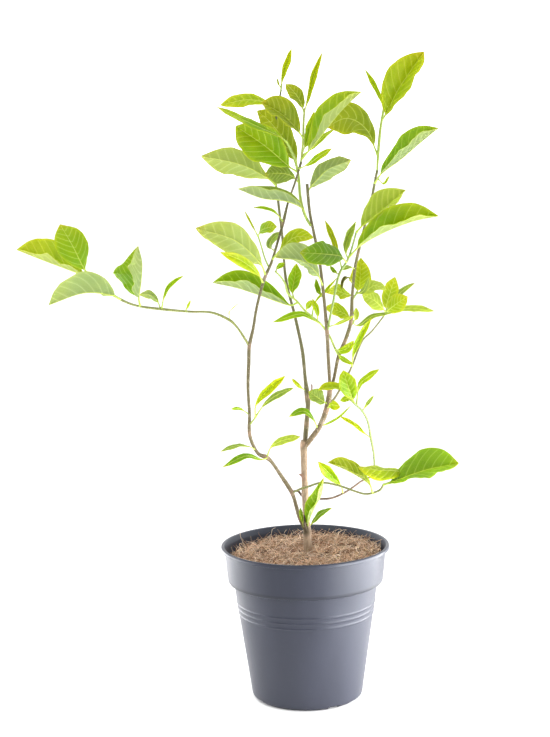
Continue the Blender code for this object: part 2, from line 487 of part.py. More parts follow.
def quad(bm, corners, flipped=False):
    a, b, c, d = corners
    if flipped:
        bm.faces.new((a, b, d))
        bm.faces.new((b, c, d))
    else:
        bm.faces.new((a, b, c))
        bm.faces.new((a, c, d))


def loft(name, rings):
    """A closed solid through rings of points in millimetres.

    The first half of each ring is one face of a blade and the second half the other; both
    faces are split into triangles alike.
    """
    bm = bmesh.new()
    loops = [[bm.verts.new(point * MM) for point in ring] for ring in rings]
    count = len(rings[0])
    for low, high in zip(loops, loops[1:]):
        for i in range(count):
            j = (i + 1) % count
            quad(bm, (low[i], low[j], high[j], high[i]), flipped=i >= count // 2)
    for loop in (loops[0], loops[-1]):
        for i in range(count // 2 - 1):
            quad(bm, (loop[i], loop[i + 1], loop[count - 2 - i], loop[count - 1 - i]))
    return mesh_object(name, bm)


def tube(name, points, sides, grown=0.0):
    """A stem through (across, up, depth, diameter) points, grown in radius and length."""
    places = [(*seen(*point[:3]), point[3] / 2) for point in points]
    route = Route(places)
    stops = []
    for first, second in zip(route.knots, route.knots[1:]):
        steps = max(1, math.ceil((second - first) / RING_SPACING - 0.2))
        stops += [first + (second - first) * i / steps for i in range(steps)]
    stops.append(route.length)

    rings = []
    tangent = route.tangent(0)
    side = tangent.orthogonal().normalized()
    for stop in stops:
        turned_tangent = route.tangent(stop)
        side = tangent.rotation_difference(turned_tangent) @ side
        tangent = turned_tangent
        other = tangent.cross(side)
        place = route.at(stop)
        centre = place.xyz
        if grown and stop == stops[-1]:
            centre = centre + tangent * grown
        if grown and stop == stops[0]:
            centre = centre - tangent * grown
        radius = place.w + grown
        ring = []
        for i in range(sides):
            angle = math.tau * i / sides
            ring.append(centre + (side * math.cos(angle) + other * math.sin(angle)) * radius)
        rings.append(ring)
    return loft(name, rings)


def outline_width(share):
    for (start, narrow), (end, wide) in zip(OUTLINE, OUTLINE[1:]):
        if share <= end:
            return narrow + (wide - narrow) * (share - start) / (end - start)
    return OUTLINE[-1][1]


def blade_ring(centre, tangent, left, right, rib, lifts=(0, 0, 0)):
    """One ring round a blade: its upper face from left to right, then its lower face."""
    left_normal = tangent.cross(left).normalized()
    right_normal = right.cross(tangent).normalized()
    middle = (left_normal + right_normal).normalized()
    crease = 1 / max(0.5, middle.dot(right_normal))
    upper, lower = [], []
    for share, lift in zip(ACROSS, lifts):
        normal = middle * crease
        if share:
            normal = left_normal if share < 0 else right_normal
        margin = left * -share if share < 0 else right * share
        half_thickness = (EDGE_THICKNESS if share else rib) / 2
        place = centre + margin + normal * lift
        upper.append(place + normal * half_thickness)
        lower.append(place - normal * half_thickness)
    return upper + lower[::-1]


def stations(half):
    """Places along a blade where its outline is set: more of them on a wider leaf."""
    if half >= LARGE_HALF:
        return LARGE_STATIONS
    return SMALL_STATIONS if half >= SMALL_HALF else TINY_STATIONS


def leaf(name, made, seed):
    """A petiole that opens into a waved blade, folded along its midrib."""
    route = Route([seen(*point) for point in made.midrib])
    blade = route.length - made.petiole
    widest = made.petiole + 0.5 * blade
    centre = route.at(widest)
    tangent = route.tangent(widest)

    margins = []
    for across, up, side in (made.left, made.right):
        flat = math.hypot(across, up)
        deep = side * math.sqrt(max(made.half**2 - flat**2, 0))
        reach = (centre.y - EYE.y) / -EYE.y
        margins.append(Vector((across * reach, deep, up * reach)))
    left, right = margins
    flat_side = (right - left).normalized()

    draw = random.Random(seed)
    phases = (draw.uniform(0, math.tau), 0, draw.uniform(0, math.tau))

    rings = []
    for stop in (0, made.petiole):
        turn = tangent.rotation_difference(route.tangent(stop))
        half = turn @ flat_side * PETIOLE_WIDTH / 2
        rings.append(blade_ring(route.at(stop), route.tangent(stop), -half, half, PETIOLE_WIDTH))
    for share in stations(made.half):
        stop = made.petiole + share * blade
        turn = tangent.rotation_difference(route.tangent(stop))
        width = outline_width(share)
        waves = [math.sin(math.tau * WAVES * share + phase) for phase in phases]
        height = WAVE_SHARE * made.half * width
        lifts = (waves[0] * height, 0, waves[2] * height)
        rib = RIB_THICKNESS + (EDGE_THICKNESS - RIB_THICKNESS) * share
        rings.append(blade_ring(route.at(stop), route.tangent(stop), turn @ left * width,
                                turn @ right * width, rib, lifts))
    return loft(name, rings)


def apply_boolean(target, operation, operand):
    """Join target with a collection, or cut one object out of it, and keep the result."""
    change = target.modifiers.new(operation.lower(), "BOOLEAN")
    change.operation = operation
    change.solver = "MANIFOLD"
    if isinstance(operand, bpy.types.Collection):
        change.operand_type = "COLLECTION"
        change.collection = operand
    else:
        change.object = operand
    graph = bpy.context.evaluated_depsgraph_get()
    result = bpy.data.meshes.new_from_object(target.evaluated_get(graph))
    target.modifiers.clear()
    target.data = result


def fuse(name, pieces):
    """One solid from overlapping pieces."""
    target = pieces[0]
    target.name = name
    rest = pieces[1:]
    if rest:
        group = bpy.data.collections.new(name + "_pieces")
        for piece in rest:
            group.objects.link(piece)
        apply_boolean(target, "UNION", group)
        for piece in rest:
            bpy.data.objects.remove(piece)
        bpy.data.collections.remove(group)
    return target


def finish(target, name, colour, roughness):
    target.name = name
    target.data.name = name
    target.data.materials.clear()
    target.data.materials.append(material(name, colour, roughness))
    target.data.shade_smooth()
    target.data.set_sharp_from_angle(angle=math.radians(40))
    return target


def turned(name, profile, segments):
    """A profile of (radius, height) points from the axis round to the axis, spun round it."""
    bm = bmesh.new()
    points = [bm.verts.new((radius * MM, 0, height * MM)) for radius, height in profile]
    edges = [bm.edges.new(pair) for pair in zip(points, points[1:])]
    bmesh.ops.spin(bm, geom=points + edges, cent=(0, 0, 0), axis=(0, 0, 1),
                   angle=math.tau, steps=segments, use_merge=True)
    bmesh.ops.remove_doubles(bm, verts=bm.verts, dist=1e-6)
    bmesh.ops.triangulate(bm, faces=bm.faces)
    return mesh_object(name, bm)


def body_radius(height):
    share = height / (COLLAR_FOOT_HEIGHT - SHOULDER)
    return BODY_FOOT_RADIUS + (BODY_TOP_RADIUS - BODY_FOOT_RADIUS) * share


def inner_wall():
    """Inside of the pot, from the lip down to the floor's edge."""
    return [
        (LIP_RADIUS - LIP_WIDTH, POT_HEIGHT),
        (COLLAR_TOP_RADIUS - WALL, POT_HEIGHT - LIP_HEIGHT - LIP_ROUND),
        (COLLAR_FOOT_RADIUS - WALL, COLLAR_FOOT_HEIGHT + SHOULDER),
        (COLLAR_FOOT_RADIUS - WALL - SHOULDER, COLLAR_FOOT_HEIGHT - SHOULDER_ROUND),
        (BODY_TOP_RADIUS - WALL, COLLAR_FOOT_HEIGHT - SHOULDER - LIP_ROUND),
        (body_radius(FLOOR_TOP) - WALL, FLOOR_TOP + FLOOR_ROUND),
        (body_radius(FLOOR_TOP) - WALL - FLOOR_ROUND, FLOOR_TOP),
    ]


def pot():
    lip_foot = POT_HEIGHT - LIP_HEIGHT
    profile = [
        (0, 0), (FOOT_CENTRE_RADIUS, 0),
        (FOOT_CENTRE_RADIUS + FOOT_SLOPE, FOOT_CLEARANCE),
        (FOOT_INNER_RADIUS - FOOT_SLOPE, FOOT_CLEARANCE), (FOOT_INNER_RADIUS, 0),
        (FOOT_RING_RADIUS, 0), (FOOT_RING_RADIUS + LIP_ROUND / 3, FOOT_RING_HEIGHT),
        (BODY_FOOT_RADIUS - 0.6 * FOOT_ROUND, FOOT_RING_HEIGHT),
        (BODY_FOOT_RADIUS - 0.1 * FOOT_ROUND, FOOT_RING_HEIGHT + 0.36 * FOOT_ROUND),
        (body_radius(FOOT_RING_HEIGHT + FOOT_ROUND), FOOT_RING_HEIGHT + FOOT_ROUND),
    ]
    for height in RIB_HEIGHTS:
        low = height - RIB_HALF_HEIGHT
        profile += [(body_radius(low), low), (body_radius(height) + RIB_DEPTH, height)]
    high = RIB_HEIGHTS[-1] + RIB_HALF_HEIGHT
    profile += [
        (body_radius(high), high), (BODY_TOP_RADIUS, COLLAR_FOOT_HEIGHT - SHOULDER),
        (COLLAR_FOOT_RADIUS - 0.8 * SHOULDER, COLLAR_FOOT_HEIGHT - 0.8 * SHOULDER),
        (COLLAR_FOOT_RADIUS - SHOULDER_ROUND, COLLAR_FOOT_HEIGHT - SHOULDER_ROUND),
        (COLLAR_FOOT_RADIUS, COLLAR_FOOT_HEIGHT + SHOULDER),
        (COLLAR_TOP_RADIUS, lip_foot - FOOT_SLOPE), (LIP_RADIUS - FOOT_SLOPE, lip_foot),
        (LIP_RADIUS, lip_foot + LIP_ROUND), (LIP_RADIUS - 0.2 * LIP_ROUND, POT_HEIGHT - 0.7 * LIP_ROUND),
        (LIP_RADIUS - LIP_ROUND, POT_HEIGHT),
    ]
    profile += inner_wall()
    profile.append((0, FLOOR_TOP))
    made = turned("pot", profile, POT_SEGMENTS)

    cutters = []
    for i in range(DRAIN_COUNT):
        angle = math.tau * (i + 0.5) / DRAIN_COUNT
        bpy.ops.mesh.primitive_cylinder_add(
            vertices=DRAIN_SIDES, radius=DRAIN_RADIUS * MM, depth=4 * FLOOR_TOP * MM,
            location=(DRAIN_CIRCLE * MM * math.cos(angle), DRAIN_CIRCLE * MM * math.sin(angle), 0))
        cutters.append(bpy.context.object)
    length, width, height = NOTCH_SIZE
    for i in range(NOTCH_COUNT):
        angle = NOTCH_TURN + math.tau * i / NOTCH_COUNT
        middle = (FOOT_INNER_RADIUS + BODY_FOOT_RADIUS) / 2
        bpy.ops.mesh.primitive_cube_add(
            size=1, location=(middle * MM * math.cos(angle), middle * MM * math.sin(angle), 0),
            rotation=(0, 0, angle), scale=(length * MM, width * MM, 2 * height * MM))
        cutters.append(bpy.context.object)
    for cutter in cutters:
        apply_boolean(made, "DIFFERENCE", cutter)
        bpy.data.objects.remove(cutter)
    return finish(made, "pot", POT, 0.45)


def soil(trunk_cutter):
    """Filling that follows the pot's wall, with a lumpy mound on top and the trunk's hole."""
    wall = [(radius - SOIL_GAP, height) for radius, height in inner_wall()]
    share = (SOIL_EDGE_HEIGHT - wall[2][1]) / (wall[1][1] - wall[2][1])
    edge = (wall[2][0] + share * (wall[1][0] - wall[2][0]), SOIL_EDGE_HEIGHT)
    wall_slope = (wall[1][0] - wall[2][0]) / (wall[1][1] - wall[2][1])
    profile = [(0, FLOOR_TOP + GAP), (wall[-1][0], FLOOR_TOP + GAP)]
    profile += [(radius, height + GAP) for radius, height in wall[-2:1:-1]]
    profile.append(edge)
    for radius in SOIL_RINGS:
        profile.append((radius, SOIL_EDGE_HEIGHT + SOIL_MOUND * (1 - (radius / edge[0]) ** 3)))
    profile.append((0, SOIL_EDGE_HEIGHT + SOIL_MOUND))
    made = turned("soil", profile, POT_SEGMENTS)

    draw = random.Random(SOIL_SEED)
    for vert in made.data.vertices:
        if vert.co.z < (SOIL_EDGE_HEIGHT - 0.5) * MM:
            continue
        radius = vert.co.xy.length / MM
        lean = (vert.co.x * SOIL_LEAN[0] + vert.co.y * SOIL_LEAN[1]) / edge[0]
        vert.co.z += lean
        vert.co.xy *= 1 + wall_slope * lean / edge[0] / MM
        if SOIL_RINGS[-1] - 1 < radius < SOIL_RINGS[0] + 1:
            vert.co.z += SOIL_LUMP * MM * draw.uniform(-1, 1)
            vert.co.xy += Vector((draw.uniform(-1, 1), draw.uniform(-1, 1))) * MM
    apply_boolean(made, "DIFFERENCE", trunk_cutter)
    return finish(made, "soil", COIR, 0.95)


def wood(name, grown=0.0):
    stems = [TRUNK] + LIMBS
    pieces = [tube(f"{name}_{i}", stem, STEM_SIDES, grown) for i, stem in enumerate(stems)]
    return fuse(name, pieces)


def sprays(wood_cutter):
    for number, (name, (twigs, leaves)) in enumerate(SPRAYS.items()):
        pieces = [tube(f"{name}_twig_{i}", twig, TWIG_SIDES) for i, twig in enumerate(twigs)]
        for i, made in enumerate(leaves):
            pieces.append(leaf(f"{name}_blade_{i}", made, 100 * number + i))
        spray = fuse(name, pieces)
        apply_boolean(spray, "DIFFERENCE", wood_cutter)
        finish(spray, name, COLOURS.get(name, GREEN), 0.5)


def main():
    clear_scene()
    pot()
    cutter = wood("wood_cutter", GAP)
    soil(cutter)
    finish(wood("wood"), "wood", WOOD, 0.8)
    sprays(cutter)
    bpy.data.objects.remove(cutter)


main()
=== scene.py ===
import json
import math
import random
from collections import namedtuple

import bmesh
import bpy
import numpy as np
from mathutils import Matrix, Vector
from mathutils.kdtree import KDTree


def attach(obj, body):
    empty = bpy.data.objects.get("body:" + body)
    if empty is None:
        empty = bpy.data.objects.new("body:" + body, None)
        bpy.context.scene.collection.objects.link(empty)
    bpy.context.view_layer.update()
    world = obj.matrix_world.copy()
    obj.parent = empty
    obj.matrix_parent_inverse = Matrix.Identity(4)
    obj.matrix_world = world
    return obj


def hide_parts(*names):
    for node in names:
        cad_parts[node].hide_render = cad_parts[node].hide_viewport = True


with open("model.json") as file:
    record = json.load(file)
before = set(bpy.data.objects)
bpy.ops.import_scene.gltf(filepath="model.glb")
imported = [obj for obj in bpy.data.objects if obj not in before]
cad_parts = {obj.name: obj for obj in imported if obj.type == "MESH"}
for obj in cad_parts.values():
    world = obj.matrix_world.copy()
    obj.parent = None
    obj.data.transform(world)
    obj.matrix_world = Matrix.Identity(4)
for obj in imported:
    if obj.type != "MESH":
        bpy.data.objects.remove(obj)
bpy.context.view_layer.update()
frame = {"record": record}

# A potted magnolia with veined leaves, bark, a moulded pot and loose coir on the soil.
# Tables and shape rules repeat the model's own, in millimetres.

MM = 0.001

# The eye that the across and up values are seen from, and the spread of the depths
EYE = np.array((-30.0, -1750.0, 620.0))
DEPTH_SPREAD = 1.4

# Pot
POT_HEIGHT = 175
LIP_RADIUS = 95
LIP_HEIGHT = 4.5
LIP_WIDTH = 3.4
LIP_ROUND = 1.4
COLLAR_TOP_RADIUS = 91
COLLAR_FOOT_RADIUS = 88
COLLAR_FOOT_HEIGHT = 137
BODY_TOP_RADIUS = 81.5
BODY_FOOT_RADIUS = 62.5
SHOULDER = 4
FOOT_ROUND = 4
WALL = 1.8
FLOOR_TOP = 5
FLOOR_ROUND = 2
RIB_HEIGHTS = (98, 104.2, 110.4)
RIB_HALF_HEIGHT = 1.5
RIB_DEPTH = 0.8
FOOT_RING_RADIUS = 58.5
FOOT_RING_HEIGHT = 2
FOOT_INNER_RADIUS = 46
FOOT_CENTRE_RADIUS = 20
FOOT_CLEARANCE = 3
NOTCH_SIZE = (18, 13, 3.2)
NOTCH_COUNT = 4
NOTCH_TURN = math.radians(28)
DRAIN_COUNT = 6
DRAIN_RADIUS = 4.5
DRAIN_CIRCLE = 33
POT_SEGMENTS = 180

# Soil and the coir fibres on it
SOIL_EDGE_HEIGHT = 160.5
SOIL_MOUND = 2.5
SOIL_LEAN = (3.6, 1)
SOIL_RADIUS = 86.3
SOIL_RINGS = 70
SOIL_SEGMENTS = 150
SOIL_SEED = 7
SOIL_GAP = 0.6
SOIL_GRAIN = 0.7
LUMP_WAVES = 14
LUMP_LENGTHS = (9, 46)
LUMP_SHARE = 0.016
COIR_SEED = 21
COIR_STEPS = 6
COIR_SIDES = 3
STRAND_SIDES = 6
STRAND_SPACING = 1.5

# How far inside the soil's edge fibres start and stay, and how far they rise over the lip
COIR_START = 2.5
COIR_END = 1
COIR_RISE = 6

# Stems and blades
STEM_SIDES = 14
TWIG_SIDES = 10
STEM_SPACING = 2.2
WOOD_SEED = 900
WOOD_ROUGHNESS = 0.035
TWIG_ROUGHNESS = 0.02
SEEDS_PER_SPRAY = 100
NODE_SPREAD = 1.6
PETIOLE_RADIUS = 0.9
PETIOLE_FLARE = 0.55
PETIOLE_SPACING = 1.2
VEINED_HALF = (5, 11)

# Waves, ripples and bulge of a blade, its skins and its least width
WAVE_SHARE = 0.09
WAVES = 2.3
RIPPLES = (5.3, 9.1)
BULGE = 0.05
SKIN = 0.15
TIP_WIDTH = 0.03

# Groove above the midrib, midrib below, side veins and the swelling between them
GROOVE_DEPTH = 0.16
GROOVE_WIDTH = 0.5
MIDRIB_HEIGHT = 0.95
MIDRIB_TAPER = 0.7
MIDRIB_WIDTH = 0.62
VEIN_SLANT = 0.62
VEIN_BEND = 1.3
VEIN_STAGGER = 0.4
SWELL_SHARE = 0.024
SWELL_MOST = 0.5

# Half-width of a leaf along its blade, as shares of its length and of its widest place
OUTLINE = ((0, 0.05), (0.12, 0.36), (0.28, 0.72), (0.45, 0.95), (0.6, 1), (0.75, 0.86),
           (0.87, 0.56), (0.95, 0.25), (1, 0.03))

# Detail of a blade, from the largest down: the least half-width it is for, rows, pairs of
# side veins, height of the fine ripples, and the columns of one side as shares of its width
Detail = namedtuple("Detail", "least rows pairs ripple columns")
DETAILS = (
    Detail(12, 58, 8, 0.022, (0.05, 0.1, 0.16, 0.24, 0.33, 0.43, 0.53, 0.63, 0.73, 0.82, 0.9,
                              0.96, 1)),
    Detail(4, 40, 7, 0.022, (0.08, 0.18, 0.32, 0.48, 0.64, 0.79, 0.91, 1)),
    Detail(0, 26, 5, 0, (0.16, 0.4, 0.7, 1)),
)

# The most that the columns next to the midrib may lie off it
COLUMN_LIMITS = (0.45, 1.1, 2.2)

# Finishes of a leaf's faces, and how many numbers each point of a body stores
UPPER_FACE, LOWER_FACE, GREEN_STEM = 0, 1, 2
VALUE_WIDTHS = {"tint": 4, "edge": 4, "blade": 3, "vein": 3}

# A margin lies nearer to the eye than its midrib, or further away
NEAR = -1
AWAY = 1

# Colours of a leaf out of 255: upper face, its edge and tip, lower face, its edge and tip
LEAF_TONES = {
    "vivid": ((104, 168, 8), (150, 192, 8), (160, 184, 124), (176, 194, 120)),
    "bright": ((128, 180, 8), (176, 200, 6), (172, 194, 120), (188, 204, 104)),
    "lime": ((160, 190, 6), (196, 206, 8), (182, 200, 104), (196, 208, 84)),
    "olive": ((132, 156, 24), (174, 184, 20), (158, 176, 92), (176, 190, 84)),
    "deep": ((74, 134, 14), (110, 164, 12), (140, 166, 104), (156, 178, 104)),
    "grey": ((122, 152, 78), (136, 166, 84), (158, 184, 126), (172, 194, 128)),
    "pale": ((168, 192, 84), (182, 202, 84), (178, 200, 124), (190, 206, 112)),
    "withered": ((44, 34, 28), (50, 38, 30), (52, 42, 34), (60, 46, 36)),
}
PETIOLE_TONE = (152, 178, 58)
TWIG_TONE = (136, 160, 64)
TWIG_TONES = {
    "spray_left": (100, 104, 52), "spray_low": (92, 96, 54), "spray_low_right": (90, 110, 48),
    "spray_centre": (140, 162, 66), "spray_top_right": (144, 168, 68),
    "spray_top": (150, 164, 84), "spray_stem": (104, 130, 54),
}

Leaf = namedtuple("Leaf", "midrib left right half petiole tone", defaults=(7, "vivid"))

# Woody stems: across, up, depth and diameter
TRUNK = [(3, 120, 0, 10), (3.4, 165, 0, 9.8), (2.6, 185, 0, 9), (2, 205, 0, 8.3),
         (0.8, 250, 0, 7.4), (0.4, 280, 0, 7.5), (0.6, 290, 0, 8.4), (0.8, 294, 0, 6)]
LIMBS = [
    # the long limb on the left
    [(2, 188, 0, 4), (-5.5, 205, -4, 4.6), (-11.5, 228, -7, 4.2), (-14, 235, -8, 5.2),
     (-27.5, 257, -12, 4), (-36, 270, -15, 4.1), (-42, 275.5, -17, 5.4), (-50, 279, -18, 3.9),
     (-56.5, 290, -20, 3.7), (-60, 303, -22, 4.2), (-59.5, 324, -24, 3.5),
     (-60.5, 355, -25, 3.5), (-59, 384, -25, 4), (-58, 401.5, -25, 4.3),
     (-53.5, 420, -25, 3.3), (-49.5, 441.5, -24, 3.2), (-43.5, 464.5, -23, 3.1),
     (-38.5, 479, -22, 3.8), (-31.5, 494, -21, 3), (-23, 520.5, -18, 2.8),
     (-18, 537, -16, 3.4), (-12, 559.5, -14, 2.4), (-4, 581, -12, 2.3), (3, 603, -10, 3)],
    # the middle limb
    [(1.5, 286, 0, 5), (4, 312, 4, 5.6), (6, 332, 8, 5.4), (5.5, 343, 9, 6.2),
     (3.5, 363, 11, 4.2), (1, 393, 14, 4), (-3.5, 418, 16, 3.8), (-8, 439, 18, 3.4),
     (-16, 474, 20, 3.2), (-19, 520, 20, 2.9), (-22.5, 556, 18, 2.8), (-27.5, 608, 14, 2.5),
     (-25, 640, 12, 2.3), (-17.5, 681, 10, 2)],
    # the right limb, and the two tall stems that it forks into
    [(1, 285, 0, 5), (10, 297, -3, 5.8), (18, 308, -5, 5.8), (26.5, 328, -8, 6.4),
     (30.5, 349, -9, 5.6), (30.5, 361, -11, 4), (29.5, 386, -12, 3.9),
     (28.5, 415.5, -12, 4.4), (26.5, 442.5, -12, 3.6), (24, 471, -11, 3.5),
     (21, 497, -10, 3.4), (15.5, 526, -9, 3.2), (11.5, 548, -8, 3.1), (9, 579, -8, 3.4)],
    [(30, 345, -9, 4), (35, 361.5, -4, 3.6), (41, 388, 4, 4.2), (48, 404, 8, 4.5),
     (55, 426, 11, 4.4), (57, 456, 14, 3.6), (60.5, 486.5, 17, 3.2), (64, 502, 18, 3.6),
     (71, 529.5, 20, 2.7), (77, 550, 22, 2.6), (86, 592, 25, 3.1)],
    # the thin stem behind them
    [(28.5, 333, -8, 3), (36, 341, 2, 2.8), (44, 354, 12, 2.6), (55, 375, 28, 2.4),
     (67.5, 404.5, 48, 2.2), (78.5, 415.5, 56, 2), (91, 431, 62, 2)],
    # the low twig that passes behind the trunk
    [(-14, 235, -8, 3), (-7, 236, 0, 2.6), (-0.5, 229, 9, 2.6), (10, 227, 11, 2.5),
     (30, 227, 10, 2.4), (48, 234.5, 16, 2.3), (65, 246, 28, 2.2), (75.5, 251, 37, 2.2),
     (80, 258, 42, 2.6), (79.5, 263, 42, 2.6)],
    # a dead stub at the foot, a bud on the trunk and a dead stub on the middle limb
    [(2, 188, -1, 3), (0, 197, -5.6, 3), (0.6, 208, -6.6, 2.8), (2, 217, -7, 2.7),
     (5, 223, -7.2, 2.5)],
    [(1, 250, 0, 3), (-4.8, 255.5, -1, 2)],
    [(6, 345, 8, 2.6), (10.5, 351, 5, 2), (10.5, 357, 5, 1.7)],
]

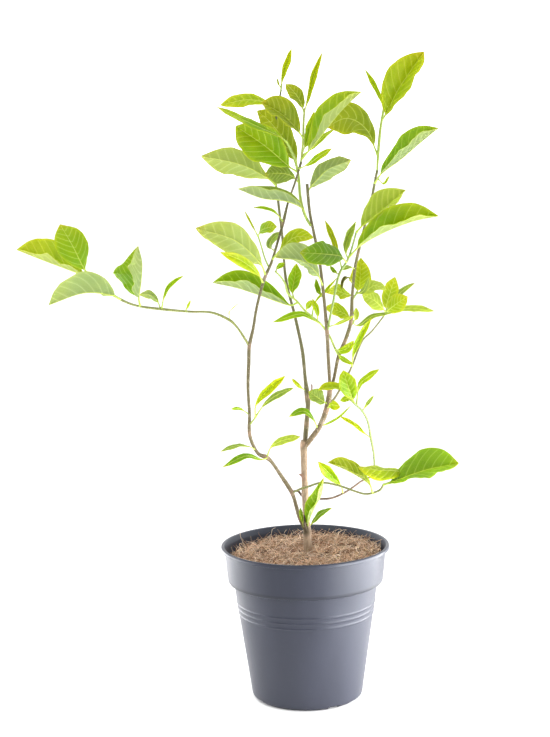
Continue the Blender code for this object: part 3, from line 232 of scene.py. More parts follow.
# Green twigs and the leaves on them. Each leaf has its midrib's points as across, up and
# depth, its left and right margins as seen from the widest place of the midrib (across, up,
# nearer or away), the true half-width, the petiole's length and its colour.
SPRAYS = {
    "leaf_foot_left": ([], [
        Leaf([(-1, 195, -3), (-3.5, 206, -10), (-4.5, 217, -12)],
             (-2.2, 0.3, NEAR), (2.2, 0, NEAR), 2.6, 5, "deep")]),
    "leaf_foot_right": ([], [
        Leaf([(3, 193, 0), (4, 200, -6), (11, 216, -14), (19, 231, -18), (22.5, 250.5, -22)],
             (-11.5, 2.5, AWAY), (-4, 0.5, NEAR), 12.2)]),
    "leaf_foot_twisted": ([], [
        Leaf([(3, 192, 1), (12, 203, 9), (19, 210, 13), (31, 215.5, 17)],
             (-1, 2.5, AWAY), (1, -2.5, NEAR), 5, tone="deep")]),
    "spray_low": ([[
        (-13, 234, -8, 2), (-5, 238, -12, 2.4), (3.5, 240.5, -14, 2.4), (20, 245, -18, 2.3),
        (40, 241, -22, 2.3), (60, 233.5, -26, 2.3), (70.5, 231, -28, 2.3), (85, 235, -30, 2.4),
        (90, 242, -31, 2.6)]], [
        Leaf([(77, 232.5, -29), (73, 243, -37), (52, 257, -42), (27.5, 268, -46)],
             (0, 4, NEAR), (2, 12, AWAY), 14, 12, "olive"),
        Leaf([(89, 241, -31), (99, 245.5, -34), (108, 255.5, -37), (85.5, 258, -41),
              (61, 262, -45)],
             (0, -10.5, NEAR), (0, 1.5, AWAY), 12.5, 19, "lime"),
        Leaf([(89.5, 241.5, -31), (97, 243, -35), (137, 257, -46), (174, 264, -58)],
             (-2, 22, AWAY), (1, -1.5, NEAR), 24, tone="deep")]),
    "leaf_low_yellow": ([], [
        Leaf([(43.3, 232.5, 14.2), (42, 240, 11), (31, 253, 7), (16.5, 269, 0)],
             (-4.4, -4, NEAR), (4.4, 4, NEAR), 7, 11, "bright")]),
    "spray_low_right": ([[
        (79.6, 261, 42, 2.4), (79, 276, 39, 2.5), (76, 294, 28, 2.9), (73.5, 310, 13, 2.4),
        (71, 318, 3, 2.4), (65.5, 327, -10, 2.5), (54, 338, -22, 2.2)]], [
        Leaf([(75.7, 295, 27), (66, 303, 20), (58, 311, 18), (40.5, 321, 16)],
             (-1, -2, NEAR), (1, 2, NEAR), 3.5, tone="lime"),
        Leaf([(66.5, 325.5, -8), (73, 335, -12), (79.5, 343, -14)],
             (-1.5, 1.2, NEAR), (1.5, -1.2, NEAR), 2.3, 4, "grey"),
        Leaf([(57.5, 335.5, -21), (54, 345, -28), (50, 358, -33), (46, 372, -34)],
             (-9.5, -2, NEAR), (9.5, 2, NEAR), 11, 5, "bright"),
        Leaf([(55.5, 337, -22), (45, 350, -22), (30, 353, -25), (17.5, 350.5, -28)],
             (0, -1, NEAR), (0, 6, AWAY), 7, 9, "lime"),
        Leaf([(60, 332.5, -16), (64, 355, -10), (75, 365, -4), (86, 372.5, 2)],
             (-2, 3, AWAY), (2, -2, NEAR), 4.5, 14, "bright"),
        Leaf([(55.5, 337, -22), (50, 340, -17), (42, 338, -13)],
             (0, -3, NEAR), (0, 3, AWAY), 4, 3, "bright")]),
    "leaf_fork_yellow": ([], [
        Leaf([(26.5, 329, -8), (31, 333, -16), (36, 333, -22), (42, 331, -27)],
             (0, 4, AWAY), (0, -5, NEAR), 6.5, 6, "lime")]),
    "leaf_fork_grey": ([], [
        Leaf([(27.5, 335, -9), (22, 338, -15), (15, 343, -18), (7, 349, -19)],
             (-3, -4, NEAR), (5, 8, AWAY), 10, 6, "grey")]),
    "leaf_fork_narrow": ([], [
        Leaf([(19.5, 310, -5), (24, 311, 6), (38, 318, 10), (54, 332, 12)],
             (-0.8, 1, NEAR), (0.8, -1, NEAR), 1.8, 6)]),
    "leaf_fork_dark": ([], [
        Leaf([(17, 306.5, -5), (10, 320, -13), (0, 327, -17), (-15.5, 321, -20)],
             (0, -2.5, NEAR), (0, 3.5, AWAY), 5, tone="deep")]),
    "leaf_middle_yellow": ([], [
        Leaf([(4, 350, 10), (-3, 355, 3), (-11.5, 364, -2)],
             (-1.5, -1.5, NEAR), (1.5, 1.5, NEAR), 2.8, 6, "lime")]),
    "leaf_limb_small": ([], [
        Leaf([(-59.5, 324, -24), (-70, 331, -27), (-80, 331, -32)],
             (0, -1.5, NEAR), (0, 1.5, AWAY), 2.3, 6)]),
    "spray_limb": ([[
        (-60, 312, -23, 1.9), (-56, 317, -26, 1.8), (-52, 322, -28, 1.8)]], [
        Leaf([(-53, 320.5, -28), (-52, 335, -31), (-38, 352, -36), (-19, 367, -40)],
             (-3, 3.5, NEAR), (3, -3.5, NEAR), 6, 13, "lime"),
        Leaf([(-53, 321, -28), (-42, 336, -24), (-26, 347, -20), (-9.5, 353.5, -16)],
             (-1.5, 2.5, AWAY), (1.5, -3, NEAR), 5, 12, "grey")]),
    "leaf_limb_edge": ([], [
        Leaf([(-53.5, 284, -19), (-61, 288, -25), (-75, 289, -33), (-93, 283, -40)],
             (0, -1.2, NEAR), (0, 1.5, AWAY), 5, 8, "grey")]),
    "leaf_limb_green": ([], [
        Leaf([(-40.5, 274.5, -17), (-48, 273, -28), (-65, 277, -38), (-91, 265, -46)],
             (0, -2.5, NEAR), (0, 3, AWAY), 5, 10, "deep")]),
    "leaf_limb_pale": ([], [
        Leaf([(-41, 276, -17), (-35, 288, -24), (-20, 295, -27), (-3, 298, -30)],
             (-1, 3.5, AWAY), (1, -3.5, NEAR), 5.5, 12, "pale")]),
    "spray_left": ([[
        (-58.5, 401.5, -25, 2.4), (-62.5, 409, -27, 2.8), (-70.5, 421.5, -29, 2.6),
        (-79, 430.5, -31, 3.2), (-99, 439.5, -34, 2.6), (-123, 441, -38, 2.5),
        (-155, 444.5, -42, 3.2), (-182.5, 449, -46, 2.5), (-200, 456.5, -50, 3),
        (-218, 469, -46, 2.5), (-235, 485, -44, 2.5)]], [
        Leaf([(-79, 431, -31), (-79, 440, -35), (-69.5, 449, -39)],
             (-1.5, -1, NEAR), (1.5, 1, NEAR), 2.2, 5, "bright"),
        Leaf([(-128, 441.8, -38.5), (-125, 447, -43), (-122, 453.5, -45)],
             (-1.2, 0.5, NEAR), (1.2, -0.5, NEAR), 1.8, 3, "bright"),
        Leaf([(-154, 445, -42), (-151, 458, -47), (-143, 472, -51), (-129, 481, -53)],
             (-1.5, 2, NEAR), (1.5, -1.5, NEAR), 3.4, 9),
        Leaf([(-155.5, 445, -42), (-159, 454, -35), (-168, 461, -30), (-178, 460.5, -24)],
             (0, 5, AWAY), (0, -5, AWAY), 6, 8),
        Leaf([(-178, 448.5, -45.5), (-179, 458.5, -52), (-176, 477, -58), (-174.5, 497, -62),
              (-178, 514.5, -64)],
             (-31, 0, AWAY), (-9, 0, NEAR), 32, 12),
        Leaf([(-199, 456, -50), (-209, 461, -64), (-240, 464, -84), (-278.5, 451.5, -98)],
             (2, 24, NEAR), (0, -1, AWAY), 25, 14),
        Leaf([(-234, 484, -44), (-240, 494, -46), (-250, 516, -50), (-263, 540, -46)],
             (-15, -7, NEAR), (15, 7, AWAY), 18, 6, "bright"),
        Leaf([(-234, 484, -44), (-244, 486, -34), (-262.5, 493, -24), (-286.5, 502.5, -17),
              (-311.5, 513, -14)],
             (2, 9, NEAR), (5, 24, AWAY), 26, 9, "lime")]),
    "leaf_upper_left": ([], [
        Leaf([(-38.5, 480, -22), (-44, 493, -29), (-72, 519, -44), (-114, 533, -58)],
             (9, 13, AWAY), (-9, -13, AWAY), 18, 13, "pale")]),
    "leaf_upper_left_spotted": ([], [
        Leaf([(-41.5, 471.5, -22.5), (-47, 482, -36), (-66, 497, -56), (-87.5, 506, -68)],
             (-2.5, -5.5, NEAR), (2.5, 5.5, NEAR), 7, 14, "lime")]),
    "spray_upper_left": ([[
        (-34.5, 488, -21.5, 1.9), (-39, 499, -20, 1.7), (-42, 510, -19, 1.7),
        (-46, 524, -20, 1.7)]], [
        Leaf([(-46, 523, -20), (-52, 535, -16), (-60, 551, -12)],
             (-1.1, -0.4, NEAR), (1.1, 0.4, NEAR), 1.8, 4, "lime"),
        Leaf([(-46, 523, -20), (-42, 529, -26), (-35, 532, -30), (-25, 533, -34)],
             (-1, 7, AWAY), (1, -5, NEAR), 9, 4, "bright")]),
    "leaf_upper_curved": ([], [
        Leaf([(-17.5, 538, -16), (-27, 549, -22), (-38, 554, -26), (-50, 554.5, -30)],
             (-1, -1.5, NEAR), (1, 1.5, NEAR), 2.8, 8)]),
    "leaf_centre_yellow": ([], [
        Leaf([(-30.5, 497, -21), (-21, 508, -24), (-5, 521, -18), (15, 520, -15)],
             (-1, 9, AWAY), (1, -9, NEAR), 11, 12, "lime")]),
    "leaf_centre_shaded": ([], [
        Leaf([(-27.5, 506, -20), (-33, 512, -11), (-30, 520, -6), (-22, 527, -3)],
             (-3.5, 2, AWAY), (3.5, -2, AWAY), 6, 6, "grey")]),
    "spray_centre": ([[
        (41, 389, 4, 2.8), (37, 397, 4, 2.5), (31, 411, 3, 2.4), (22, 424, 2, 2.4),
        (12, 433, 0, 2.3), (4, 440, -3, 2.3), (-4, 450, -6, 2.3), (-14, 459, -10, 2.6),
        (-17, 470, -12, 2), (-22, 478, -14, 1.8), (-28, 484, -15, 1.7)]], [
        Leaf([(-27, 483.5, -15), (-25, 488, -12), (-17, 493, -8)],
             (-1.5, 2.5, NEAR), (1.5, -2.5, NEAR), 3.5, 3),
        Leaf([(-3, 449, -6), (-12, 446, -3), (-43, 457, 1), (-69, 466, 1), (-96.5, 472.5, -2)],
             (1, 11, NEAR), (3, 21, AWAY), 21, 9),
        Leaf([(22, 424, 2), (12, 430, -7), (0, 436, -11), (-31.5, 427.5, -18)],
             (0, -3, NEAR), (0, 3.5, AWAY), 5, 8),
        Leaf([(18, 428, 1.5), (18, 438, -4), (13, 452.5, -8)],
             (-3, -1, NEAR), (3, 1, NEAR), 4, 5, "bright"),
        Leaf([(5, 439, -3), (8, 445, -7), (12, 451, -9)],
             (-2.5, 2, NEAR), (2.5, -2, NEAR), 3.6, 3, "bright"),
        Leaf([(12, 433, 0), (16, 449, 5), (28, 462, 9), (40, 475, 11)],
             (-1, 1.2, NEAR), (1, -1.2, NEAR), 2.8, 12, "bright"),
        Leaf([(-8, 454, -7.5), (-9, 463, 0), (-6, 478, 4), (-4, 492, 6)],
             (-7, 1, NEAR), (7, -1, NEAR), 8.5),
        Leaf([(37.5, 396, 4), (43, 394, -8), (51, 397, -11), (58, 405, -12)],
             (-2, 4, NEAR), (2, -4, NEAR), 5, 9, "bright"),
        Leaf([(38.5, 394, 4), (44, 386, -8), (57, 379, -12)],
             (0, 3, AWAY), (0, -3, NEAR), 4, 10, "bright")]),
    "leaf_stem_dark": ([], [
        Leaf([(25.5, 453, -11.5), (20, 460, -3), (17, 475, 0)],
             (-3, 0, NEAR), (3, 0, NEAR), 4.5, 6, "deep")]),
    "leaf_stem_pale": ([], [
        Leaf([(24.5, 467, -11), (18, 481, -24), (1, 495, -36), (-27, 499, -44)],
             (2, 19, AWAY), (2, -9, AWAY), 20, 16, "grey")]),
    "spray_stem": ([[
        (28.7, 416, -12, 3), (32, 431, -14, 2.8), (35.5, 447, -16, 2.6), (43, 479.5, -19, 2.9),
        (53, 496, -21, 2.4), (63, 527, -23, 2)]], [
        Leaf([(30, 421, -13), (42, 425, -19), (59, 433, -24)],
             (-0.8, 1.6, AWAY), (0.8, -1.6, NEAR), 2.5, 6, "pale"),
        Leaf([(42.5, 479, -19), (38, 482, -14), (33, 489, -10)],
             (-2, -1, NEAR), (2, 1, NEAR), 3.6, 3, "deep"),
        Leaf([(46, 485, -19.5), (43, 497, -14), (36, 520, -9), (28, 539, -6)],
             (-3, -1, NEAR), (3, 1, NEAR), 4.5, 12, "olive"),
        Leaf([(51, 492.5, -20.5), (44, 499, -32), (24, 502, -50), (0, 504, -62)],
             (0, -12, NEAR), (0, 13, AWAY), 18, 9, "deep"),
        Leaf([(53, 496, -21), (50, 505, -12), (54, 521, -3), (62, 537, 0)],
             (-4, 1, NEAR), (4, -1, NEAR), 6, 8, "grey"),
        Leaf([(62.5, 525, -23), (68, 531, -27), (90, 548, -34), (117, 570, -40)],
             (-12, 15, AWAY), (1, -2, NEAR), 20, 8, "pale"),
        Leaf([(54, 498, -21), (67.5, 511, -32), (94, 525, -45), (125, 536, -57),
              (152.5, 541, -66)],
             (-8, 22, AWAY), (-3, 6.5, NEAR), 23, 15, "bright")]),
    "spray_right_low": ([[
        (54, 421, 10.5, 2), (57, 424, 15, 1.8), (58, 427, 19, 1.8)]], [
        Leaf([(57.5, 424.5, 17), (64, 422, 32), (80, 432, 43), (102.5, 435.5, 44)],
             (-1, 2.4, AWAY), (1, -2.4, NEAR), 4, 8, "grey"),
        Leaf([(58, 426.5, 18.5), (50, 434, 22), (40, 439, 27), (27, 441, 32)],
             (0, -6.5, NEAR), (0, 8, AWAY), 11, 6, "lime"),
        Leaf([(58, 426, 18), (61, 431, 14), (61, 442, 12)], (-3, 0, NEAR), (3, 0, NEAR), 4, 3, "pale")]),
    "spray_right": ([[
        (57, 450, 13.5, 2), (60, 455, 20, 1.8), (62, 459, 25, 1.8)]], [
        Leaf([(62, 458.5, 24.5), (65, 466, 36), (66, 478, 44), (67, 497, 48)],
             (-12, 0, NEAR), (12, 0, NEAR), 15, 5, "lime"),
        Leaf([(61.5, 458, 24), (72, 460, 21), (82, 466, 24), (95, 461, 28)],
             (0, 6, AWAY), (0, -6, NEAR), 8.5, 6, "pale"),
        Leaf([(61, 456.5, 22), (70, 461, 10), (76, 475, 6)],
             (-2.5, 1, AWAY), (2.5, -1, NEAR), 4.5, 6, "grey"),
        Leaf([(60, 455, 20), (50, 457, 26), (40, 461, 31), (28, 459, 36)],
             (0, -7, NEAR), (0, 7, AWAY), 11, 5, "lime")]),
    "leaf_right_long": ([], [
        Leaf([(55.5, 376.5, 28.5), (58, 392, 23), (66, 411, 18), (78, 430, 16)],
             (-3, 2, NEAR), (3, -2, NEAR), 4.6, 8, "bright")]),
    "leaf_withered": ([], [
        Leaf([(58.2, 468, 15), (53, 476, 9), (48, 471, 6), (46, 462, 5)],
             (-3, 1, AWAY), (3, 1, AWAY), 4.5, 4, "withered")]),
    "leaf_right_grey": ([], [
        Leaf([(60.3, 485, 17), (53, 487, 8), (44, 484, 4)], (0, -2, NEAR), (0, 2, AWAY), 3, 5, "grey")]),
    "spray_right_back": ([[
        (90, 429.5, 61.5, 2), (93, 434, 64, 1.9), (95, 438, 66, 1.8)]], [
        Leaf([(93, 434, 64), (104, 437, 66), (122, 440, 68), (147.5, 436.5, 68)],
             (0, 3.5, AWAY), (0, -3, NEAR), 6, 9, "pale"),
        Leaf([(94, 436, 65), (89, 442, 60), (80, 450, 54), (68, 456, 50)],
             (-3, -8, NEAR), (3, 8, AWAY), 10.5, 5, "pale"),
        Leaf([(94.5, 437, 65.5), (95, 444, 72), (99, 458, 78), (104.5, 475, 80)],
             (-8, 1, AWAY), (8, -1, NEAR), 9.5, 5, "lime"),
        Leaf([(94, 436, 65), (99, 440, 58), (107, 446, 53), (118, 453, 48)],
             (-4, 8, AWAY), (4, -8, NEAR), 11.5, 4, "lime"),
        Leaf([(94.5, 437.5, 66), (102, 448, 82), (113, 460, 92), (126.5, 468, 97)],
             (-1.5, 3, AWAY), (1.5, -3, NEAR), 5, 12, "grey")]),
    "spray_top_right": ([[
        (85.7, 590, 25, 2.2), (87.5, 613, 26, 3.3), (90, 637, 27, 3.1), (94, 660, 28, 2.7)]], [
        Leaf([(92, 647, 27.5), (97, 654, 20), (112, 682, 8), (138, 718.5, 2)],
             (-18, 11, NEAR), (7, -4, NEAR), 22, 9, "lime"),
        Leaf([(93.5, 657, 28), (91, 668, 31), (83, 685, 34), (74, 701, 36)],
             (-2.4, -1.2, NEAR), (2.4, 1.2, NEAR), 4, 4, "bright"),
        Leaf([(87, 607, 26), (84, 615.5, 26), (76.5, 634, 24), (63.5, 646, 20),
              (49.5, 648.5, 12), (32, 640, 2)],
             (-4, -15, NEAR), (5, 16, AWAY), 19, 12, "olive")]),
    "spray_right_high": ([], [
        Leaf([(83, 578, 24), (91, 589, 15), (111, 603, 6), (133, 621, -5), (153, 636.5, -15)],
             (-9, 17, AWAY), (-5.5, 8, NEAR), 20, 14),
        Leaf([(86.5, 583, 20), (93, 578, 14), (99.5, 586, 9)],
             (-1, 0.8, NEAR), (1, -0.8, NEAR), 2, 4, "bright")]),
    "spray_top": ([[
        (2.6, 601, -10, 2.3), (5.5, 625, -10, 2.8), (6.5, 648, -9, 2.5), (8, 661, -8, 2.2)]], [
        Leaf([(7.6, 658, -8), (12.5, 673, -9), (18.5, 696, -12), (27.5, 719.5, -14)],
             (-3.2, 0.8, NEAR), (3.2, -0.8, NEAR), 5, 3, "lime"),
        Leaf([(3.8, 606, -10), (12, 615.5, -15), (24, 629.5, -20), (38.5, 647.5, -26),
              (51.5, 661.5, -30), (69.5, 677, -34)],
             (-15.5, 14, AWAY), (-7, 6.5, NEAR), 22, 11, "bright"),
        Leaf([(4.8, 614, -10), (9, 623, 0), (14, 640, 6), (18, 657, 8)],
             (-5, 1.5, NEAR), (6, -2, NEAR), 7, 8, "bright"),
        Leaf([(4.2, 610, -10), (16, 618, -5), (28, 630, -4), (40, 638, -4)],
             (-1.5, 2, AWAY), (1.5, -2, NEAR), 3.6, 9, "bright"),
        Leaf([(5.6, 629, -10), (0, 636.5, -15), (-14, 652, -21), (-27.5, 661.5, -25),
              (-39.5, 667.5, -28)],
             (-3.5, -5, NEAR), (9, 15, AWAY), 17.5, tone="olive"),
        Leaf([(7.5, 655, -8), (2, 670, -10), (-5.5, 680.5, -13), (-12, 687, -15)],
             (-6, -3, NEAR), (7, 4, AWAY), 9, 5, "olive")]),
    "leaf_top_narrow": ([], [
        Leaf([(0.6, 595.5, -11), (12, 601, -17), (25, 610, -20), (37, 617, -22)],
             (-1.8, 3, AWAY), (1.8, -3, NEAR), 4.8, tone="bright")]),
    "leaf_top_shaded": ([], [
        Leaf([(9.6, 571, -8), (17, 580, -2), (32, 594, 6), (57.5, 604, 10)],
             (5, -9, AWAY), (-5, 9, AWAY), 13.5, 5, "grey")]),
    "spray_top_left": ([[
        (12.5, 533, -9, 3), (7, 543, -7, 3.2), (3, 555.5, -4, 3.2), (1, 568, -1, 3.1),
        (-0.5, 591, 1, 3), (-5.5, 610, -6, 2.9), (-13, 626, -13, 2.6)]], [
        Leaf([(8, 541.5, -7.5), (3, 553, -14), (-15.5, 561, -22), (-40.5, 564.5, -32),
              (-66.5, 575, -42)],
             (2, 11, NEAR), (4, 14, AWAY), 15, 13, "grey"),
        Leaf([(0, 581, 0), (-8, 588, -1), (-20, 591, -3), (-37, 590, -5)],
             (0, -11, NEAR), (0, 10, AWAY), 12.5, 5, "grey"),
        Leaf([(-0.6, 592, 1), (-9.5, 597.5, -3), (-35, 620, -7), (-67.5, 643, -9)],
             (-14, -15, NEAR), (13, 16, NEAR), 24, 12, "bright"),
        Leaf([(-12, 624.5, -12.5), (-19.5, 630.5, -17), (-50, 645, -23), (-87.5, 664, -28)],
             (-2, -3.2, NEAR), (2, 3.8, AWAY), 7, 8, "bright"),
        Leaf([(-2.1, 597, -1.2), (-2.5, 605, 3), (-15.5, 627, 7), (-30, 646.5, 9), (-44, 659, 8)],
             (-11, -10, NEAR), (11, 10, AWAY), 17, 8, "olive")]),
    "leaf_top_left_pale": ([], [
        Leaf([(-24.8, 578, 16), (-34, 586, 11), (-62, 601, -2), (-106, 611.5, -14)],
             (7, 14, AWAY), (-7, -13, AWAY), 18, 12, "pale")]),
    "leaf_top_left_curled": ([], [
        Leaf([(-21.5, 659, 11), (-32, 667, 12), (-55, 671, 11), (-84, 666, 8)],
             (0, -7, NEAR), (0, 7.5, AWAY), 9, 10, "lime")]),
    "spray_middle_top": ([[
        (-18, 678.5, 10, 2), (-17.2, 684, 10, 1.9), (-16.8, 687, 10, 1.8)]], [
        Leaf([(-17.2, 685, 10), (-15, 696, 10), (-10.5, 709.5, 8), (-5.5, 724.5, 6)],
             (-3.3, 0.8, NEAR), (3.3, -0.8, NEAR), 5, 2, "lime"),
        Leaf([(-17.3, 683, 10), (-20, 687, 12), (-21.5, 693.5, 13)],
             (-1, -0.3, NEAR), (1, 0.3, NEAR), 1.5, 2, "olive")]),
}


# Bark colours of the trunk and of each limb, at the foot and at the top
BARK_TONES = [
    ((172, 148, 124), (146, 126, 104)),
    ((108, 96, 72), (98, 100, 64)), ((102, 98, 70), (98, 106, 64)),
    ((116, 100, 76), (98, 98, 64)), ((108, 96, 70), (112, 118, 68)),
    ((124, 118, 88), (134, 140, 90)), ((86, 68, 56), (106, 84, 66)),
    ((78, 68, 50), (62, 56, 42)), ((160, 124, 104), (152, 116, 102)),
    ((98, 88, 64), (120, 94, 78)),
]
NODE_TONE = (190, 150, 132)

# Pot and coir colours
POT_DARK = (33, 35, 46)
POT_LIGHT = (38, 40, 52)
# Inner faces are painted paler than the outside: painted light on the inner wall
POT_INSIDE_PAINTED_LIGHT = (58, 62, 74)
# Painted shade: a dark band round the collar's foot and the step under it
POT_COLLAR_PAINTED_SHADE = (12, 13, 17)
# Painted light: the body is painted paler towards its foot
POT_FOOT_PAINTED_LIGHT = (92, 94, 104)
COIR_TONES = [(206, 164, 134), (182, 138, 110), (222, 184, 152), (150, 108, 86)]
COIR_PALE = [(246, 218, 188), (230, 196, 162), (252, 230, 206)]
COIR_DARK = [(70, 42, 34), (100, 64, 50), (50, 32, 28)]

# Loose coir: number, length, diameter and steepness of the fibres, and their colours
Coir = namedtuple("Coir", "name count length diameter rise tones")
COIR = [
    Coir("coir_brown", 4300, (6, 18), (0.25, 0.55), (0.1, 0.8), COIR_TONES),
    Coir("coir_pale", 3300, (6, 18), (0.22, 0.48), (0.2, 1.0), COIR_PALE),
    Coir("coir_dark", 2500, (5, 14), (0.3, 0.7), (0.0, 0.5), COIR_DARK),
    Coir("coir_bold", 700, (7, 20), (0.55, 0.85), (0.3, 0.9), COIR_PALE),
]

# Long strands that stand up from the soil: across, up, depth and diameter
STRANDS = [
    [(-65.5, 170, 22, 0.5), (-70, 178.5, 22, 0.42), (-73, 186.5, 22, 0.35), (-72, 191, 22, 0.28)],
    [(-61, 169, 20, 0.4), (-66.5, 177, 20, 0.34), (-71, 182, 20, 0.28)],
    [(-39.5, 176.5, 34, 0.45), (-38, 186, 34, 0.38), (-36, 193, 34, 0.32), (-32.5, 194, 34, 0.25)],
    [(-77, 160, 2, 0.45), (-81.5, 167, 2, 0.38), (-83.5, 173, 2, 0.32)],
    [(-5.5, 179.5, 36, 0.4), (-4.5, 188.5, 36, 0.34), (-7.5, 192, 36, 0.28)],
    [(34, 177.5, 36, 0.5), (37.5, 185.5, 36, 0.42), (43, 190, 36, 0.35), (47.5, 190, 36, 0.28)],
    [(26, 179, 36, 0.45), (32, 188, 36, 0.38), (40, 191.5, 36, 0.32), (42, 189, 36, 0.25)],
    [(72.5, 165, 14, 0.75), (77, 173, 14, 0.64), (85, 177.5, 14, 0.52), (91.5, 178.5, 14, 0.41)],
    [(53, 170, 30, 0.4), (56.5, 178, 30, 0.34), (61, 182.5, 30, 0.28)],
    [(66.5, 164, 24, 0.4), (64.5, 173.5, 24, 0.34), (61, 180.5, 24, 0.28)],
    [(15, 179, 37, 0.4), (16, 188.5, 37, 0.34), (20.5, 191.5, 37, 0.28)],
    [(-21.5, 178.5, 36, 0.4), (-23.5, 187, 36, 0.34), (-21, 191.5, 36, 0.28)],
]

# Camera, as fitted to the pot's outline, floor and lights
SENSOR_WIDTH = 36
LENS = 77.57
CAMERA_PITCH = 7.95
CAMERA_ROLL = 1.12
SKY_FRONT = 0.5
SKY_BACK = 1.9
SKY_TOP = 0.5
BACKDROP = 1.02
FLOOR_SIZE = 60
FLOOR_GAP = 0.0002

# Softboxes: place, width and height, brightness and what they face
SOFTBOXES = {
    "softbox_right": ((0.42, -0.1, 0.1), (0.8, 0.2), 18, (0, 0, 0.08)),
    "softbox_left": ((-0.5, 0.2, 0.1), (0.8, 0.2), 9, (0, 0, 0.08)),
    "softbox_key": ((-0.7, -1.3, 1.6), (0.9, 0.9), 5, (0, 0, 0.4)),
}


# Curves and meshes

def seen(across, up, depth):
    """The point, in millimetres, that appears at (across, up) and lies at this depth."""
    depth *= DEPTH_SPREAD
    reach = (depth - EYE[1]) / -EYE[1]
    return (EYE[0] + reach * (across - EYE[0]), depth, EYE[2] + reach * (up - EYE[2]))


def linear(tone):
    """A colour out of 255 as linear red, green and blue."""
    share = np.asarray(tone, float) / 255
    return np.where(share > 0.04045, ((share + 0.055) / 1.055) ** 2.4, share / 12.92)


def unit(vectors):
    """The directions of vectors, each of length 1."""
    return vectors / np.linalg.norm(vectors, axis=-1, keepdims=True)


def smooth(low, high, value):
    """Rises from 0 at low to 1 at high with soft ends."""
    share = np.clip((value - low) / (high - low), 0, 1)
    return share * share * (3 - 2 * share)


def between(first, last, share):
    """first where share is 0, last where it is 1."""
    return first * (1 - share) + last * share


class Curve:
    """A smooth curve through values at knots; without knots these are its arc lengths."""

    def __init__(self, values, knots=None):
        self.values = np.asarray(values, float)
        if knots is None:
            steps = np.linalg.norm(np.diff(self.values[:, :3], axis=0), axis=1)
            knots = np.concatenate(([0], np.cumsum(steps)))
        self.knots = np.asarray(knots, float)
        self.length = self.knots[-1]
        order = np.arange(len(self.knots))
        before = np.maximum(order - 1, 0)
        after = np.minimum(order + 1, len(order) - 1)
        spans = self.knots[after] - self.knots[before]
        self.slopes = (self.values[after] - self.values[before]) / spans[:, None]

    def at(self, places):
        places = np.clip(places, 0, self.length)
        i = np.clip(np.searchsorted(self.knots, places) - 1, 0, len(self.knots) - 2)
        span = (self.knots[i + 1] - self.knots[i])[:, None]
        t = (places - self.knots[i])[:, None] / span
        start = self.values[i] * (2 * t**3 - 3 * t**2 + 1)
        start = start + self.slopes[i] * span * (t**3 - 2 * t**2 + t)
        end = self.values[i + 1] * (3 * t**2 - 2 * t**3)
        return start + end + self.slopes[i + 1] * span * (t**3 - t**2)

    def tangents(self, places):
        step = self.length * 0.01
        ahead = self.at(np.minimum(places + step, self.length))
        behind = self.at(np.maximum(places - step, 0))
        return unit((ahead - behind)[:, :3])


OUTLINE_CURVE = Curve([(width,) for _, width in OUTLINE], [share for share, _ in OUTLINE])


def carried(vector, start, ends):
    """vector, turned by the smallest turns that take the direction start to each of ends."""
    axes = np.cross(start, ends)
    cosines = ends @ start
    along = (axes @ vector) / (1 + cosines)
    return vector * cosines[:, None] + np.cross(axes, vector) + axes * along[:, None]


def transported(tangents):
    """Side vectors that follow a curve without twisting round it."""
    side = Vector(tangents[0]).orthogonal().normalized()
    sides = [side]
    for before, after in zip(tangents, tangents[1:]):
        side = Vector(before).rotation_difference(Vector(after)) @ side
        sides.append(side)
    return np.array([tuple(one) for one in sides])


def around(tangents, side, angles):
    """Directions outwards at these angles round a stem, the first of them along side."""
    other = np.cross(tangents, side)
    turns = angles[:, None]
    return side[..., None, :] * np.cos(turns) + other[..., None, :] * np.sin(turns)


def placed(name, data):
    """A new object in the scene."""
    made = bpy.data.objects.new(name, data)
    bpy.context.collection.objects.link(made)
    return made


def store(mesh, name, values):
    """Stores a colour, or else three numbers, at each point of a mesh."""
    kind, key = ("FLOAT_COLOR", "color") if values.shape[-1] == 4 else ("FLOAT_VECTOR", "vector")
    layer = mesh.attributes.new(name, kind, "POINT")
    layer.data.foreach_set(key, values.reshape(-1))


def meshed(name, points, faces, values, materials, finishes=None):
    """An object from points in millimetres, with values stored at them."""
    mesh = bpy.data.meshes.new(name)
    mesh.from_pydata((points * MM).tolist(), [], faces)
    if finishes is not None:
        mesh.polygons.foreach_set("material_index", finishes)
    for key, value in values.items():
        store(mesh, key, value)
    for material in materials:
        mesh.materials.append(material)
    mesh.shade_smooth()
    mesh.update()
    return placed(name, mesh)


def dress(made, material):
    """Gives a whole object one material and smooth shading."""
    made.data.materials.clear()
    made.data.materials.append(material)
    made.data.shade_smooth()


def volume(points, quads):
    """Volume inside closed quads; minus if they face inwards."""
    corners = points[quads] - points.mean(axis=0)
    total = 0
    for i, j in ((1, 2), (2, 3)):
        total += np.einsum("ij,ij->", corners[:, 0], np.cross(corners[:, i], corners[:, j]))
    return total


